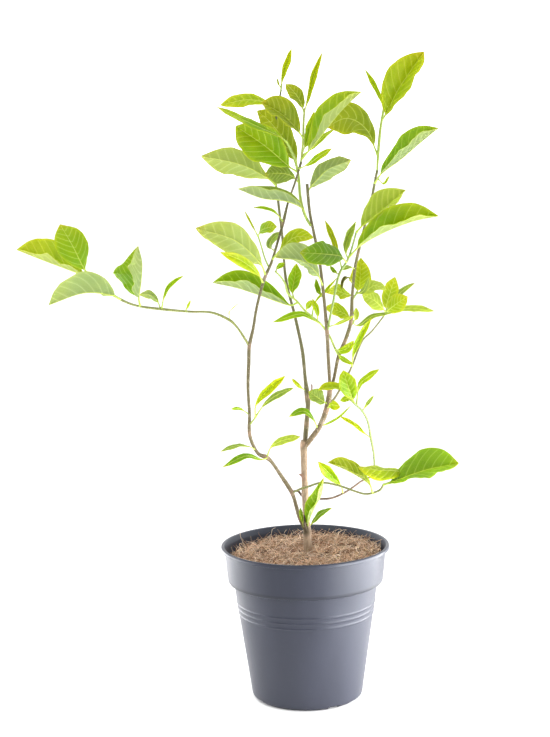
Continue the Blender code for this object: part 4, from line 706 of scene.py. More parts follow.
class Shell:
    """Closed bodies with their colours and finishes, gathered for one object."""

    def __init__(self):
        self.points = []
        self.faces = []
        self.finishes = []
        self.values = {name: [] for name in VALUE_WIDTHS}
        self.count = 0

    def loft(self, rings, finishes, **values):
        """A body through rings of points, with one finish for each face of a ring."""
        stops, sides = rings.shape[:2]
        low = self.count + np.arange(stops - 1)[:, None] * sides + np.arange(sides)[None]
        step = np.roll(np.arange(sides), -1) - np.arange(sides)
        quads = np.stack((low, low + step, low + step + sides, low + sides), axis=-1)
        ends = []
        for base in (0, (stops - 1) * sides):
            for i in range(sides // 2 - 1):
                corners = (i, i + 1, sides - 2 - i, sides - 1 - i)
                corners = corners if base else corners[::-1]
                ends.append([self.count + base + corner for corner in corners])
        faces = np.concatenate((quads.reshape(-1, 4), ends))
        points = rings.reshape(-1, 3)
        if volume(points, faces - self.count) < 0:
            faces = faces[:, ::-1]
        self.points.append(points)
        self.faces.append(faces)
        wall = np.broadcast_to(finishes, (stops - 1, sides)).reshape(-1)
        self.finishes.append(np.concatenate((wall, np.full(len(ends), wall[-1]))))
        for name, width in VALUE_WIDTHS.items():
            block = np.zeros((stops, sides, width))
            block[:] = values.get(name, 0)
            self.values[name].append(block.reshape(-1, width))
        self.count += len(points)

    def object(self, name, materials):
        """All the bodies as one object in the scene."""
        faces = np.concatenate(self.faces).tolist()
        values = {key: np.concatenate(blocks) for key, blocks in self.values.items()}
        return meshed(name, np.concatenate(self.points), faces, values, materials,
                      np.concatenate(self.finishes))


def show(made, slot, *nodes):
    """A piece of the plant or its pot, which rides the one body and stands for nodes."""
    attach(made, "root")
    if nodes:
        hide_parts(*nodes)


# Stems

def stem_rings(points, sides, spacing, roughness=0.0, seed=0):
    """Rings round a stem through (across, up, depth, diameter) points, its line and its stops."""
    curve = Curve([(*seen(*point[:3]), point[3] / 2) for point in points])
    stops = np.linspace(0, curve.length, max(4, int(curve.length / spacing)))
    places = curve.at(stops)
    tangents = curve.tangents(stops)
    angles = math.tau * np.arange(sides) / sides
    radii = np.repeat(places[:, 3:4], sides, axis=1)
    if roughness:
        draw = np.random.default_rng(seed)
        phase, *_ = draw.uniform(0, math.tau, 3)
        radii = radii * (1 + roughness * np.sin(2 * angles + stops[:, None] / 7 + phase))
        radii = radii * (1 + roughness * draw.uniform(-1, 1, radii.shape))
    outward = around(tangents, transported(tangents), angles)
    return places[:, None, :3] + outward * radii[..., None], places, stops


def flat_tint(tone):
    """One colour for a whole body."""
    return np.array((*linear(tone), 1))


# Leaves

class Blade:
    """A grid over a leaf: rows along it, and columns from its left margin to its right one."""

    def __init__(self, made, detail, stops, length):
        self.half = made.half
        self.detail = detail
        self.length = length
        self.share = np.clip((stops - made.petiole) / length, 0, 1)
        self.along = self.share[:, None]
        self.width = np.maximum(OUTLINE_CURVE.at(self.share), TIP_WIDTH)
        self.half_width = made.half * self.width
        limits = np.full(len(detail.columns), math.inf)
        limits[:len(COLUMN_LIMITS)] = COLUMN_LIMITS
        reach = np.minimum(np.array(detail.columns) * self.half_width, limits)
        one_side = reach / self.half_width
        midrib = np.zeros((len(stops), 1))
        self.across = np.concatenate((-one_side[:, ::-1], midrib, one_side), axis=1)
        self.lateral = np.abs(self.across)
        self.distance = self.lateral * self.half_width

    def sided(self, left, right):
        """Values of the left half, and those of the right half with the midrib."""
        return np.where(self.across < 0, left, right)

    def halves(self, left, right):
        """The same for vectors, one for each row."""
        return np.where((self.across < 0)[..., None], left[:, None], right[:, None])

    def waves(self, coarse, fine):
        """Lift of the waved and rippled margins and of the bulge of each half."""
        wave = np.sin(math.tau * WAVES * self.along + self.sided(*coarse))
        lift = wave * WAVE_SHARE * self.half_width * self.lateral**1.3
        ripple = np.sin(math.tau * RIPPLES[0] * self.along + self.sided(*fine[:2]))
        second = np.sin(math.tau * RIPPLES[1] * self.along + self.sided(*fine[2:]))
        ripple = ripple + 0.6 * second
        lift = lift + ripple * self.detail.ripple * self.half_width * self.lateral**3
        return lift + 4 * self.lateral * (1 - self.lateral) * BULGE * self.half_width

    def course(self):
        """How many side veins lie below each place: a whole number on a vein."""
        aside = self.distance / self.length
        bent = VEIN_SLANT * aside + VEIN_BEND * aside**2
        stagger = np.where(self.across > 0, VEIN_STAGGER * smooth(0, 0.12, self.lateral), 0)
        return self.detail.pairs * (self.along - bent) + stagger

    def swell(self, course):
        """Lift of the blade between its side veins."""
        fade = smooth(0.02, 0.2, self.lateral) * (1 - smooth(0.75, 1, self.lateral))
        fade = fade * smooth(0, 0.12, self.along)
        height = min(SWELL_MOST, SWELL_SHARE * self.half)
        return np.abs(np.sin(math.pi * course)) ** 0.8 * fade * height

    def skins(self):
        """Thickness above and below the middle: the midrib is sunk above and raised below."""
        groove = np.exp(-((self.distance / GROOVE_WIDTH) ** 2)) * smooth(0, 0.1, self.along)
        rib = MIDRIB_HEIGHT - MIDRIB_TAPER * self.along
        rib = rib * np.exp(-((self.distance / MIDRIB_WIDTH) ** 2))
        return SKIN - GROOVE_DEPTH * groove, SKIN + rib * min(1, 0.35 + self.half / 14)


def leaf_margins(made, centre):
    """Vectors from the widest place of the midrib to the left and right margins."""
    reach = (centre[1] - EYE[1]) / -EYE[1]
    margins = []
    for across, up, side in (made.left, made.right):
        deep = side * math.sqrt(max(made.half**2 - math.hypot(across, up)**2, 0))
        margins.append(np.array((across * reach, deep, up * reach)))
    return margins


def petiole_faces(made, stops, level, facing, columns):
    """Upper and lower face of the petiole's round section, from its middle line."""
    foot = np.clip(1 - stops / made.petiole, 0, 1)
    radius = PETIOLE_RADIUS * min(1.15, 0.72 + made.half / 50)
    radius = (radius + PETIOLE_FLARE * foot**3)[:, None, None]
    quarter = np.linspace(-1, 1, columns)[:, None] * math.pi / 2
    outward = level[:, None] * np.sin(quarter) * radius
    upward = facing[:, None] * np.maximum(np.cos(quarter), 0.08) * radius
    return outward + upward, outward - upward


def leaf_tints(made, share, columns):
    """Colours of a leaf's two faces, and those of their edges with the veins' strength."""
    upper, upper_edge, lower, lower_edge = (linear(tone) for tone in LEAF_TONES[made.tone])
    tints = np.ones((len(share), 2 * columns, 4))
    edges = np.ones_like(tints)
    for values, above, below in ((tints, upper, lower), (edges, upper_edge, lower_edge)):
        values[:, :columns, :3] = above
        values[:, columns:, :3] = below
    edges[..., 3] = smooth(*VEINED_HALF, made.half)
    petiole = lower if made.tone == "withered" else linear(PETIOLE_TONE)
    stem_share = (1 - smooth(0, 0.06, share))[:, None, None]
    tints[..., :3] = between(tints[..., :3], petiole, stem_share)
    return tints, edges


def leaf(shell, made, seed):
    """A round petiole that opens into a folded, waved and veined blade."""
    curve = Curve([seen(*point) for point in made.midrib])
    length = curve.length - made.petiole
    detail = next(one for one in DETAILS if made.half >= one.least)
    stalk = max(4, int(made.petiole / PETIOLE_SPACING))
    stops = np.concatenate((np.linspace(0, made.petiole, stalk, endpoint=False),
                            made.petiole + np.linspace(0, 1, detail.rows) * length))
    line = curve.at(stops)
    tangents = curve.tangents(stops)
    blade = Blade(made, detail, stops, length)
    columns = blade.across.shape[1]

    # Directions of the two halves of the blade, and the ones that they face
    widest = np.array([made.petiole + 0.5 * length])
    straight = curve.tangents(widest)[0]
    margins = leaf_margins(made, curve.at(widest)[0])
    left, right = (carried(margin, straight, tangents) for margin in margins)
    level = unit(carried(unit(margins[1] - margins[0]), straight, tangents))
    left_normal = unit(np.cross(tangents, left))
    right_normal = unit(np.cross(right, tangents))
    middle = unit(left_normal + right_normal)
    blend = smooth(0, 0.3, blade.lateral)[..., None]
    normal = unit(between(middle[:, None], blade.halves(left_normal, right_normal), blend))

    # The blade's middle surface and its two faces
    source = random.Random(seed)
    coarse = (source.uniform(0, math.tau), source.uniform(0, math.tau))
    fine = np.random.default_rng(seed + 5).uniform(0, math.tau, 4)
    course = blade.course()
    lift = blade.waves(coarse, fine) + blade.swell(course)
    offset = blade.halves(left, right) * (blade.lateral * blade.width)[..., None]
    surface = line[:, None] + offset + normal * lift[..., None]
    above, below = (skin[..., None] for skin in blade.skins())

    # The petiole, which passes into the blade's foot
    facing = np.cross(level, tangents)
    facing = np.where((np.sum(facing * middle, axis=1) < 0)[:, None], -facing, facing)
    round_upper, round_lower = petiole_faces(made, stops, level, facing, columns)
    opened = smooth(-0.02, 0.1, (stops - made.petiole) / length)[:, None, None]
    upper = between(line[:, None] + round_upper, surface + normal * above, opened)
    lower = between(line[:, None] + round_lower, surface - normal * below, opened)
    rings = np.concatenate((upper, lower[:, ::-1]), axis=1)

    # Places for the colours, the same on both faces, and the finish of each face
    margin = (1 - blade.lateral) * blade.half_width
    fields = (blade.across * blade.half_width, margin, blade.along,
              course, length / detail.pairs, source.random())
    fields = np.stack(np.broadcast_arrays(*fields), axis=-1)
    fields = np.concatenate((fields, fields[:, ::-1]), axis=1)
    tints, edges = leaf_tints(made, blade.share, columns)
    finishes = np.full((len(stops) - 1, 2 * columns), LOWER_FACE)
    finishes[:, :columns - 1] = UPPER_FACE
    finishes[:stalk] = GREEN_STEM
    shell.loft(rings, finishes, tint=tints, edge=edges, blade=fields[..., :3],
               vein=fields[..., 3:])


def spray(name, twigs, leaves, number, materials):
    """Green twigs with their leaves, or single leaves, as one object."""
    shell = Shell()
    seed = SEEDS_PER_SPRAY * number
    tint = flat_tint(TWIG_TONES.get(name, TWIG_TONE))
    for i, twig in enumerate(twigs):
        rings, _, _ = stem_rings(twig, TWIG_SIDES, STEM_SPACING, TWIG_ROUGHNESS, seed + i)
        shell.loft(rings, GREEN_STEM, tint=tint)
    for i, made in enumerate(leaves):
        leaf(shell, made, seed + i)
    return shell.object("veined_" + name, materials)


# Bodies that are joined or cut

def combine(target, operation, **operand):
    """Joins other bodies with target, or takes them from it, and keeps the result."""
    change = target.modifiers.new("combine", "BOOLEAN")
    change.operation = operation
    change.solver = "MANIFOLD"
    for key, value in operand.items():
        setattr(change, key, value)
    graph = bpy.context.evaluated_depsgraph_get()
    result = bpy.data.meshes.new_from_object(target.evaluated_get(graph))
    target.modifiers.clear()
    target.data = result


def union(name, pieces):
    """One body from overlapping ones."""
    target, *others = pieces
    group = bpy.data.collections.new(name + "_pieces")
    for piece in others:
        group.objects.link(piece)
    combine(target, "UNION", operand_type="COLLECTION", collection=group)
    for piece in others:
        bpy.data.objects.remove(piece)
    bpy.data.collections.remove(group)
    target.name = name
    target.data.name = name
    return target


def cut(target, cutter):
    """Takes cutter out of target and removes it."""
    combine(target, "DIFFERENCE", object=cutter)
    bpy.data.objects.remove(cutter)


# Wood

def node_places(stem):
    """Distances along a stem where it swells at a leaf's scar."""
    curve = Curve([(*seen(*point[:3]), point[3]) for point in stem])
    found = []
    for i in range(1, len(stem) - 1):
        before, here, after = (stem[j][3] for j in (i - 1, i, i + 1))
        if here > max(before, after) or here > 1.15 * after:
            found.append(curve.knots[i])
    return found


def wood(finish):
    """Trunk, limbs and woody twigs as one body, with a colour taken from the nearest stem."""
    pieces = []
    samples = []
    for i, stem in enumerate([TRUNK] + LIMBS):
        rings, places, stops = stem_rings(stem, STEM_SIDES, STEM_SPACING, WOOD_ROUGHNESS,
                                          WOOD_SEED + i)
        shell = Shell()
        shell.loft(rings, 0)
        pieces.append(shell.object(f"stem_{i}", []))
        nodes = node_places(stem)
        foot, top = (linear(tone) for tone in BARK_TONES[i])
        for place, stop in zip(places, stops):
            tone = between(foot, top, stop / stops[-1])
            ring = max((math.exp(-((stop - node) / NODE_SPREAD) ** 2) for node in nodes), default=0)
            samples.append((place[:3] * MM, between(tone, linear(NODE_TONE), 0.75 * ring)))
    made = union("wood_stems", pieces)

    nearest = KDTree(len(samples))
    for i, (place, _) in enumerate(samples):
        nearest.insert(place, i)
    nearest.balance()
    tints = np.ones((len(made.data.vertices), 4))
    for vertex in made.data.vertices:
        found = nearest.find_n(vertex.co, 3)
        tints[vertex.index, :3] = np.mean([samples[i][1] for _, i, _ in found], axis=0)
    made.data.attributes.remove(made.data.attributes["tint"])
    store(made.data, "tint", tints)
    dress(made, finish)
    return made


# Pot

def body_radius(height):
    """Radius of the pot's wall below its collar."""
    share = height / (COLLAR_FOOT_HEIGHT - SHOULDER)
    return BODY_FOOT_RADIUS + (BODY_TOP_RADIUS - BODY_FOOT_RADIUS) * share


def rounded(corners):
    """A profile through (radius, height, rounding) corners, with a curve at each round one."""
    line = []
    for i, (radius, height, rounding) in enumerate(corners):
        here = np.array((radius, height), float)
        if not rounding:
            line.append(here)
            continue
        ends = []
        for neighbour in (corners[i - 1], corners[i + 1]):
            toward = np.array(neighbour[:2]) - here
            ends.append(here + unit(toward) * min(rounding, np.linalg.norm(toward) * 0.49))
        for t in np.linspace(0, 1, 6):
            line.append(ends[0] * (1 - t) ** 2 + here * 2 * t * (1 - t) + ends[1] * t**2)
    return line


def turned(name, line, segments):
    """A profile from the axis round to the axis, spun round it."""
    bm = bmesh.new()
    points = [bm.verts.new((radius * MM, 0, height * MM)) for radius, height in line]
    edges = [bm.edges.new(pair) for pair in zip(points, points[1:])]
    bmesh.ops.spin(bm, geom=points + edges, cent=(0, 0, 0), axis=(0, 0, 1),
                   angle=math.tau, steps=segments, use_merge=True)
    bmesh.ops.remove_doubles(bm, verts=bm.verts, dist=1e-6)
    bmesh.ops.recalc_face_normals(bm, faces=bm.faces)
    if bm.calc_volume(signed=True) < 0:
        bmesh.ops.reverse_faces(bm, faces=bm.faces)
    mesh = bpy.data.meshes.new(name)
    bm.to_mesh(mesh)
    bm.free()
    return placed(name, mesh)


def on_circle(radius, angle):
    """A place on the floor, in metres."""
    return (radius * MM * math.cos(angle), radius * MM * math.sin(angle), 0)


def pot(finish):
    """The pot, with its drain holes and the notches of its foot."""
    lip_foot = POT_HEIGHT - LIP_HEIGHT
    corners = [
        (0, 0, 0), (FOOT_CENTRE_RADIUS, 0, 0.5), (FOOT_CENTRE_RADIUS + 1, FOOT_CLEARANCE, 0.5),
        (FOOT_INNER_RADIUS - 1, FOOT_CLEARANCE, 0.5), (FOOT_INNER_RADIUS, 0, 0.4),
        (FOOT_RING_RADIUS, 0, 0.5), (FOOT_RING_RADIUS + 0.4, FOOT_RING_HEIGHT, 0.3),
        (BODY_FOOT_RADIUS, FOOT_RING_HEIGHT, FOOT_ROUND),
    ]
    for height in RIB_HEIGHTS:
        low, high = height - RIB_HALF_HEIGHT, height + RIB_HALF_HEIGHT
        corners += [(body_radius(low), low, 0.8), (body_radius(height) + RIB_DEPTH, height, 1.4),
                    (body_radius(high), high, 0.8)]
    corners += [
        (BODY_TOP_RADIUS - 0.1, COLLAR_FOOT_HEIGHT - SHOULDER + 0.3, 0.6),
        (COLLAR_FOOT_RADIUS - 0.4, COLLAR_FOOT_HEIGHT - SHOULDER, 4.5),
        (COLLAR_TOP_RADIUS, lip_foot - 0.5, 0.8), (LIP_RADIUS, lip_foot, 0.9),
        (LIP_RADIUS - 0.2, POT_HEIGHT, 1.5),
        (LIP_RADIUS - LIP_WIDTH, POT_HEIGHT, 1.2),
        (COLLAR_TOP_RADIUS - WALL, lip_foot - LIP_ROUND, 1),
        (COLLAR_FOOT_RADIUS - WALL, COLLAR_FOOT_HEIGHT + SHOULDER, 2),
        (BODY_TOP_RADIUS - WALL, COLLAR_FOOT_HEIGHT - SHOULDER - LIP_ROUND, 2),
        (body_radius(FLOOR_TOP) - WALL, FLOOR_TOP, FLOOR_ROUND), (0, FLOOR_TOP, 0),
    ]
    made = turned("nursery_pot", rounded(corners), POT_SEGMENTS)
    for i in range(DRAIN_COUNT):
        angle = math.tau * (i + 0.5) / DRAIN_COUNT
        bpy.ops.mesh.primitive_cylinder_add(
            vertices=32, radius=DRAIN_RADIUS * MM, depth=4 * FLOOR_TOP * MM,
            location=on_circle(DRAIN_CIRCLE, angle))
        cut(made, bpy.context.object)
    length, width, height = NOTCH_SIZE
    for i in range(NOTCH_COUNT):
        angle = NOTCH_TURN + math.tau * i / NOTCH_COUNT
        bpy.ops.mesh.primitive_cube_add(
            size=1, location=on_circle((FOOT_INNER_RADIUS + BODY_FOOT_RADIUS) / 2, angle),
            rotation=(0, 0, angle), scale=(length * MM, width * MM, 2 * height * MM))
        cut(made, bpy.context.object)
    dress(made, finish)
    made.data.set_sharp_from_angle(angle=math.radians(50))
    return made


# Soil and coir

class Ground:
    """Height of the soil's lumpy top, in millimetres."""

    def __init__(self, seed):
        draw = np.random.default_rng(seed)
        lengths = np.geomspace(*LUMP_LENGTHS, LUMP_WAVES)
        headings = draw.uniform(0, math.tau, LUMP_WAVES)
        self.waves = np.stack((np.cos(headings), np.sin(headings))) * math.tau / lengths
        self.phases = draw.uniform(0, math.tau, LUMP_WAVES)
        self.heights = LUMP_SHARE * lengths

    def at(self, x, y):
        radius = np.hypot(x, y)
        mound = SOIL_EDGE_HEIGHT + SOIL_MOUND * (1 - np.minimum(radius / SOIL_RADIUS, 1) ** 3)
        mound = mound + (x * SOIL_LEAN[0] + y * SOIL_LEAN[1]) / SOIL_RADIUS
        turns = x[..., None] * self.waves[0] + y[..., None] * self.waves[1] + self.phases
        lumps = (np.sin(turns) * self.heights).sum(axis=-1)
        return mound + lumps * (1 - 0.4 * smooth(60, 86, radius))


def soil(ground, finish):
    """The soil's body, which fills the pot, with a grainy top."""
    wall = COLLAR_FOOT_RADIUS - WALL - SOIL_GAP
    share = (SOIL_EDGE_HEIGHT - COLLAR_FOOT_HEIGHT) / (POT_HEIGHT - COLLAR_FOOT_HEIGHT)
    edge = wall + share * (COLLAR_TOP_RADIUS - COLLAR_FOOT_RADIUS)
    foot = body_radius(FLOOR_TOP) - WALL
    line = [(0, FLOOR_TOP + 0.3), (foot - 3, FLOOR_TOP + 0.3), (foot - SOIL_GAP, FLOOR_TOP + 3),
            (BODY_TOP_RADIUS - WALL - 1, COLLAR_FOOT_HEIGHT - SHOULDER - 2),
            (wall, COLLAR_FOOT_HEIGHT + SHOULDER + 1), (edge, SOIL_EDGE_HEIGHT - 3)]
    line += [(edge * (1 - i / SOIL_RINGS), SOIL_EDGE_HEIGHT) for i in range(SOIL_RINGS)]
    line.append((0, SOIL_EDGE_HEIGHT))
    made = turned("coir_soil", line, SOIL_SEGMENTS)
    count = len(made.data.vertices)
    places = np.zeros(count * 3)
    made.data.vertices.foreach_get("co", places)
    places = places.reshape(-1, 3) / MM
    top = places[:, 2] > SOIL_EDGE_HEIGHT - 0.5
    heights = ground.at(places[:, 0], places[:, 1])
    grain = np.random.default_rng(SOIL_SEED).uniform(-SOIL_GRAIN, SOIL_GRAIN, count)
    places[:, 2] = np.where(top, heights + grain - 1, places[:, 2])
    made.data.vertices.foreach_set("co", (places * MM).reshape(-1))
    made.data.update()
    dress(made, finish)
    return made


def coir_lines(kind, ground, draw):
    """Middle lines of curly fibres, and how far each of their points lies above the soil."""
    radius = (SOIL_RADIUS - COIR_START) * np.sqrt(draw.uniform(0, 1, kind.count))
    angle = draw.uniform(0, math.tau, kind.count)
    size = draw.uniform(*kind.length, kind.count)
    heading = draw.uniform(0, math.tau, kind.count)
    bend = draw.normal(0, 0.05, (kind.count, COIR_STEPS)).cumsum(axis=1) * 3
    curl = draw.normal(0, 0.16, kind.count)[:, None]
    turn = heading[:, None] + bend + np.arange(COIR_STEPS) * curl
    tilt = np.abs(draw.normal(0, 1, kind.count)) * draw.uniform(*kind.rise, kind.count)
    falling = np.linspace(1, draw.uniform(-0.6, 0.9, kind.count), COIR_STEPS).T
    tilt = np.minimum(tilt, 1.25)[:, None] * falling
    steps = np.stack((np.cos(turn) * np.cos(tilt), np.sin(turn) * np.cos(tilt), np.sin(tilt)))
    steps = steps * (size / COIR_STEPS)[:, None]
    start = np.stack((radius * np.cos(angle), radius * np.sin(angle), np.zeros(kind.count)))
    moved = np.concatenate((np.zeros((3, kind.count, 1)), steps.cumsum(axis=2)), axis=2)
    x, y, z = moved + start[..., None]

    # Fibres that would pass the pot's wall are turned back along it
    scale = np.minimum((SOIL_RADIUS - COIR_END) / np.hypot(x, y), 1)
    x, y = x * scale, y * scale
    floor = ground.at(x, y)
    z = floor[:, :1] - 0.6 + draw.uniform(0, 1.8, kind.count)[:, None] + z
    z = np.minimum(np.maximum(z, floor - 0.3), POT_HEIGHT + COIR_RISE)
    return np.stack((x, y, z), axis=-1), z - floor


def coir(kind, seed, ground, finish):
    """Loose curly fibres that lie on the soil, some of them standing up from it."""
    draw = np.random.default_rng(seed)
    lines, raised = coir_lines(kind, ground, draw)
    tangents = unit(np.gradient(lines, axis=1) + 1e-9)
    side = unit(np.cross(tangents, (0.02, 0.01, 1)) + 1e-9)
    corners = np.arange(COIR_SIDES)
    taper = 1 - 0.5 * np.linspace(0, 1, COIR_STEPS + 1) ** 2
    radii = draw.uniform(*kind.diameter, kind.count)[:, None] / 2 * taper
    outward = around(tangents, side, math.tau * corners / COIR_SIDES)
    rings = lines[:, :, None] + outward * radii[..., None, None]

    # Three-sided walls and an end at either side
    first = np.arange(kind.count)[:, None] * (COIR_STEPS + 1) * COIR_SIDES
    here = first[..., None] + np.arange(COIR_STEPS)[:, None] * COIR_SIDES + corners
    beside = here + np.roll(corners, -1) - corners
    quads = np.stack((here, beside, beside + COIR_SIDES, here + COIR_SIDES), axis=-1)
    ends = np.concatenate((first + corners[::-1], first + COIR_STEPS * COIR_SIDES + corners))

    # Painted shade: darker where the fibres lie deep, a little lighter where they stand up
    palette = np.array([linear(tone) for tone in kind.tones])
    mixed = palette[draw.integers(0, len(palette), kind.count)]
    mixed = mixed * draw.uniform(0.6, 1.3, (kind.count, 1))
    tints = np.ones((*rings.shape[:3], 4))
    light = 0.42 + 0.68 * smooth(-1, 3.2, raised)
    tints[..., :3] = mixed[:, None, None] * light[:, :, None, None]
    faces = quads.reshape(-1, 4).tolist() + ends.tolist()
    return meshed(kind.name, rings.reshape(-1, 3), faces, {"tint": tints}, [finish])


def strands(finish):
    """The long strands, as one object."""
    shell = Shell()
    for i, strand in enumerate(STRANDS):
        rings, _, _ = stem_rings(strand, STRAND_SIDES, STRAND_SPACING)
        shell.loft(rings, 0, tint=flat_tint(COIR_PALE[i % len(COIR_PALE)]))
    return shell.object("coir_strands", [finish])


# Finishes

class Nodes:
    """Short ways to add nodes to a tree."""

    def __init__(self, tree):
        self.tree = tree

    def node(self, kind, inputs=(), **settings):
        made = self.tree.nodes.new(kind)
        for key, value in settings.items():
            setattr(made, key, value)
        for key, value in dict(inputs).items():
            self.put(made.inputs[key], value)
        return made

    def put(self, socket, value):
        if isinstance(value, bpy.types.NodeSocket):
            self.tree.links.new(value, socket)
        else:
            socket.default_value = value

    def math(self, operation, *values):
        return self.node("ShaderNodeMath", dict(enumerate(values)), operation=operation).outputs[0]

    def product(self, first, *others):
        for other in others:
            first = self.math("MULTIPLY", first, other)
        return first

    def total(self, first, *others):
        for other in others:
            first = self.math("ADD", first, other)
        return first

    def smooth(self, value, low, high, first=0.0, last=1.0):
        """Rises from first at low to last at high."""
        inputs = {"Value": value, "From Min": low, "From Max": high, "To Min": first, "To Max": last}
        return self.node("ShaderNodeMapRange", inputs, interpolation_type="SMOOTHSTEP").outputs[0]

    def mix(self, share, first, second, blend="MIX"):
        return self.node("ShaderNodeMix", {0: share, 6: first, 7: second}, data_type="RGBA",
                         blend_type=blend).outputs[2]

    def parts(self, vector):
        return self.node("ShaderNodeSeparateXYZ", {0: vector}).outputs

    def place(self):
        return self.node("ShaderNodeTexCoord").outputs["Object"]

    def stretched(self, x, y, z):
        """Places with some directions drawn out."""
        return self.node("ShaderNodeVectorMath", {0: self.place(), 1: (x, y, z)},
                         operation="MULTIPLY").outputs[0]

    def noise(self, scale, detail=2.0, roughness=0.5, vector=None):
        inputs = {"Vector": vector or self.place(), "Scale": scale, "Detail": detail,
                  "Roughness": roughness}
        return self.node("ShaderNodeTexNoise", inputs).outputs["Fac"]

    def cells(self, scale, feature="DISTANCE_TO_EDGE"):
        inputs = {"Scale": scale, "Vector": self.place()}
        return self.node("ShaderNodeTexVoronoi", inputs, feature=feature).outputs["Distance"]

    def stored(self, name, output="Color"):
        """What the mesh stores at its points under this name."""
        return self.node("ShaderNodeAttribute", attribute_name=name).outputs[output]


class Finish(Nodes):
    """A material whose shader's sockets are set by name."""

    def __init__(self, name, roughness, **settings):
        self.material = bpy.data.materials.new(name)
        self.material.use_nodes = True
        super().__init__(self.material.node_tree)
        self.shader = self.tree.nodes["Principled BSDF"]
        self.rough(roughness)
        for key, value in settings.items():
            self.put(self.shader.inputs[key.replace("_", " ")], value)

    def colour(self, base, *layers):
        """Colours the surface with base, under layers of (share, colour)."""
        for share, tone in layers:
            base = self.mix(share, base, tone)
        self.put(self.shader.inputs["Base Color"], base)
        return base

    def rough(self, value):
        self.put(self.shader.inputs["Roughness"], value)

    def bump(self, height, distance, strength=1.0):
        inputs = {"Height": height, "Distance": distance, "Strength": strength}
        normal = self.node("ShaderNodeBump", inputs).outputs[0]
        self.put(self.shader.inputs["Normal"], normal)
        return normal

    def translucent(self, colour, share, normal):
        """Lets part of the light through, as a blade does."""
        through = self.node("ShaderNodeBsdfTranslucent", {"Color": colour, "Normal": normal})
        mixed = self.node("ShaderNodeMixShader", {0: share, 1: self.shader.outputs[0],
                                                  2: through.outputs[0]})
        self.put(self.tree.nodes["Material Output"].inputs["Surface"], mixed.outputs[0])


def rgba(*tone):
    """A colour out of 255 for a socket."""
    return (*linear(tone), 1)


def blade_finish(name, upper):
    """Leaf tissue: tinted blade, paler midrib and side veins, a fine net between them."""
    finish = Finish(name, 0.5 if upper else 0.64, Specular_IOR_Level=0.34 if upper else 0.22)
    edge = finish.stored("edge")
    relief = finish.stored("edge", "Alpha")
    across, margin, along = finish.parts(finish.stored("blade", "Vector"))
    course, spacing, chance = finish.parts(finish.stored("vein", "Vector"))

    # Midrib, side veins and the net between them, 1 on the vein
    width = finish.smooth(along, 0, 1, 0.85, 0.3)
    ratio = finish.math("DIVIDE", finish.math("ABSOLUTE", across), width)
    midrib = finish.smooth(ratio, 0.35, 1.2, 1, 0)
    shifted = finish.math("FRACT", finish.total(course, 0.5))
    aside = finish.math("ABSOLUTE", finish.math("SUBTRACT", shifted, 0.5))
    aside = finish.product(aside, spacing, 0.82)
    clear = finish.smooth(relief, 0, 1, 0.15, 1)
    vein = finish.product(finish.smooth(aside, 0.1, 0.7, 1, 0),
                          finish.smooth(margin, 0.3, 3.5), clear)
    valley = finish.product(finish.smooth(aside, 0.5, 2.2), finish.smooth(margin, 0.5, 4))
    net = finish.product(finish.smooth(finish.cells(560), 0.02, 0.14, 1, 0), relief)
    fine = finish.noise(420, 3)

    # Younger colour towards the tip and the margins
    blotch = finish.smooth(finish.noise(55, 3), 0.3, 0.7, -0.18, 0.3)
    toward = finish.total(finish.product(finish.smooth(along, 0.3, 1), 0.75),
                          finish.smooth(margin, 0.3, 5, 0.45, 0), blotch)
    toward = finish.math("MINIMUM", finish.math("MAXIMUM", toward, 0.0), 1.0)
    level, deep = ((255, 249, 240), (236, 236, 206)) if upper else ((252, 243, 246), (240, 234, 230))
    shade = finish.mix(valley, rgba(*level), rgba(*deep))
    colour = finish.mix(1.0, finish.mix(toward, finish.stored("tint"), edge), shade, "MULTIPLY")
    tip = finish.product(finish.smooth(along, 0.86, 1), finish.smooth(chance, 0.2, 0.9), 0.5)
    colour = finish.mix(tip, colour, rgba(216, 186, 30))
    colour = finish.mix(finish.smooth(margin, 0.1, 0.8, 0.6, 0), colour, rgba(206, 208, 44))
    pale = finish.mix(0.5, colour, rgba(232, 236, 140) if upper else rgba(226, 234, 176))
    colour = finish.colour(colour, (finish.product(vein, 0.7 if upper else 0.75), pale),
                           (finish.product(net, 0.14), pale),
                           (finish.product(midrib, 0.8), rgba(220, 228, 120)))

    # Veins are sunk in the upper face and raised on the lower one
    sign = -1.0 if upper else 1.0
    height = finish.total(finish.product(vein, 0.7 * sign), finish.product(net, 0.2 * sign),
                          finish.product(fine, 0.2))
    normal = finish.bump(finish.product(height, clear), 0.00035, 0.8)
    low, high = (0.4, 0.56) if upper else (0.58, 0.74)
    finish.rough(finish.smooth(fine, 0.3, 0.7, low, high))
    finish.translucent(finish.mix(0.45, colour, rgba(208, 218, 20)), 0.5, normal)
    return finish.material


def green_stem_finish():
    """Green bark of petioles and young twigs: long streaks and a few pale pores."""
    finish = Finish("green_stem", 0.5, Specular_IOR_Level=0.4)
    streak = finish.noise(900, 3, 0.6, finish.stretched(1, 1, 0.12))
    patch = finish.noise(90, 2)
    pores = finish.smooth(finish.cells(700, "F1"), 0.05, 0.22, 0.2, 0)
    finish.colour(finish.stored("tint"),
                  (finish.smooth(streak, 0.3, 0.75, 0, 0.3), rgba(206, 216, 130)),
                  (finish.smooth(patch, 0.5, 0.72, 0, 0.2), rgba(150, 124, 72)),
                  (pores, rgba(222, 220, 170)))
    finish.bump(finish.total(streak, finish.product(pores, 0.8)), 0.0002, 0.8)
    finish.rough(finish.smooth(patch, 0.3, 0.7, 0.42, 0.6))
    return finish.material


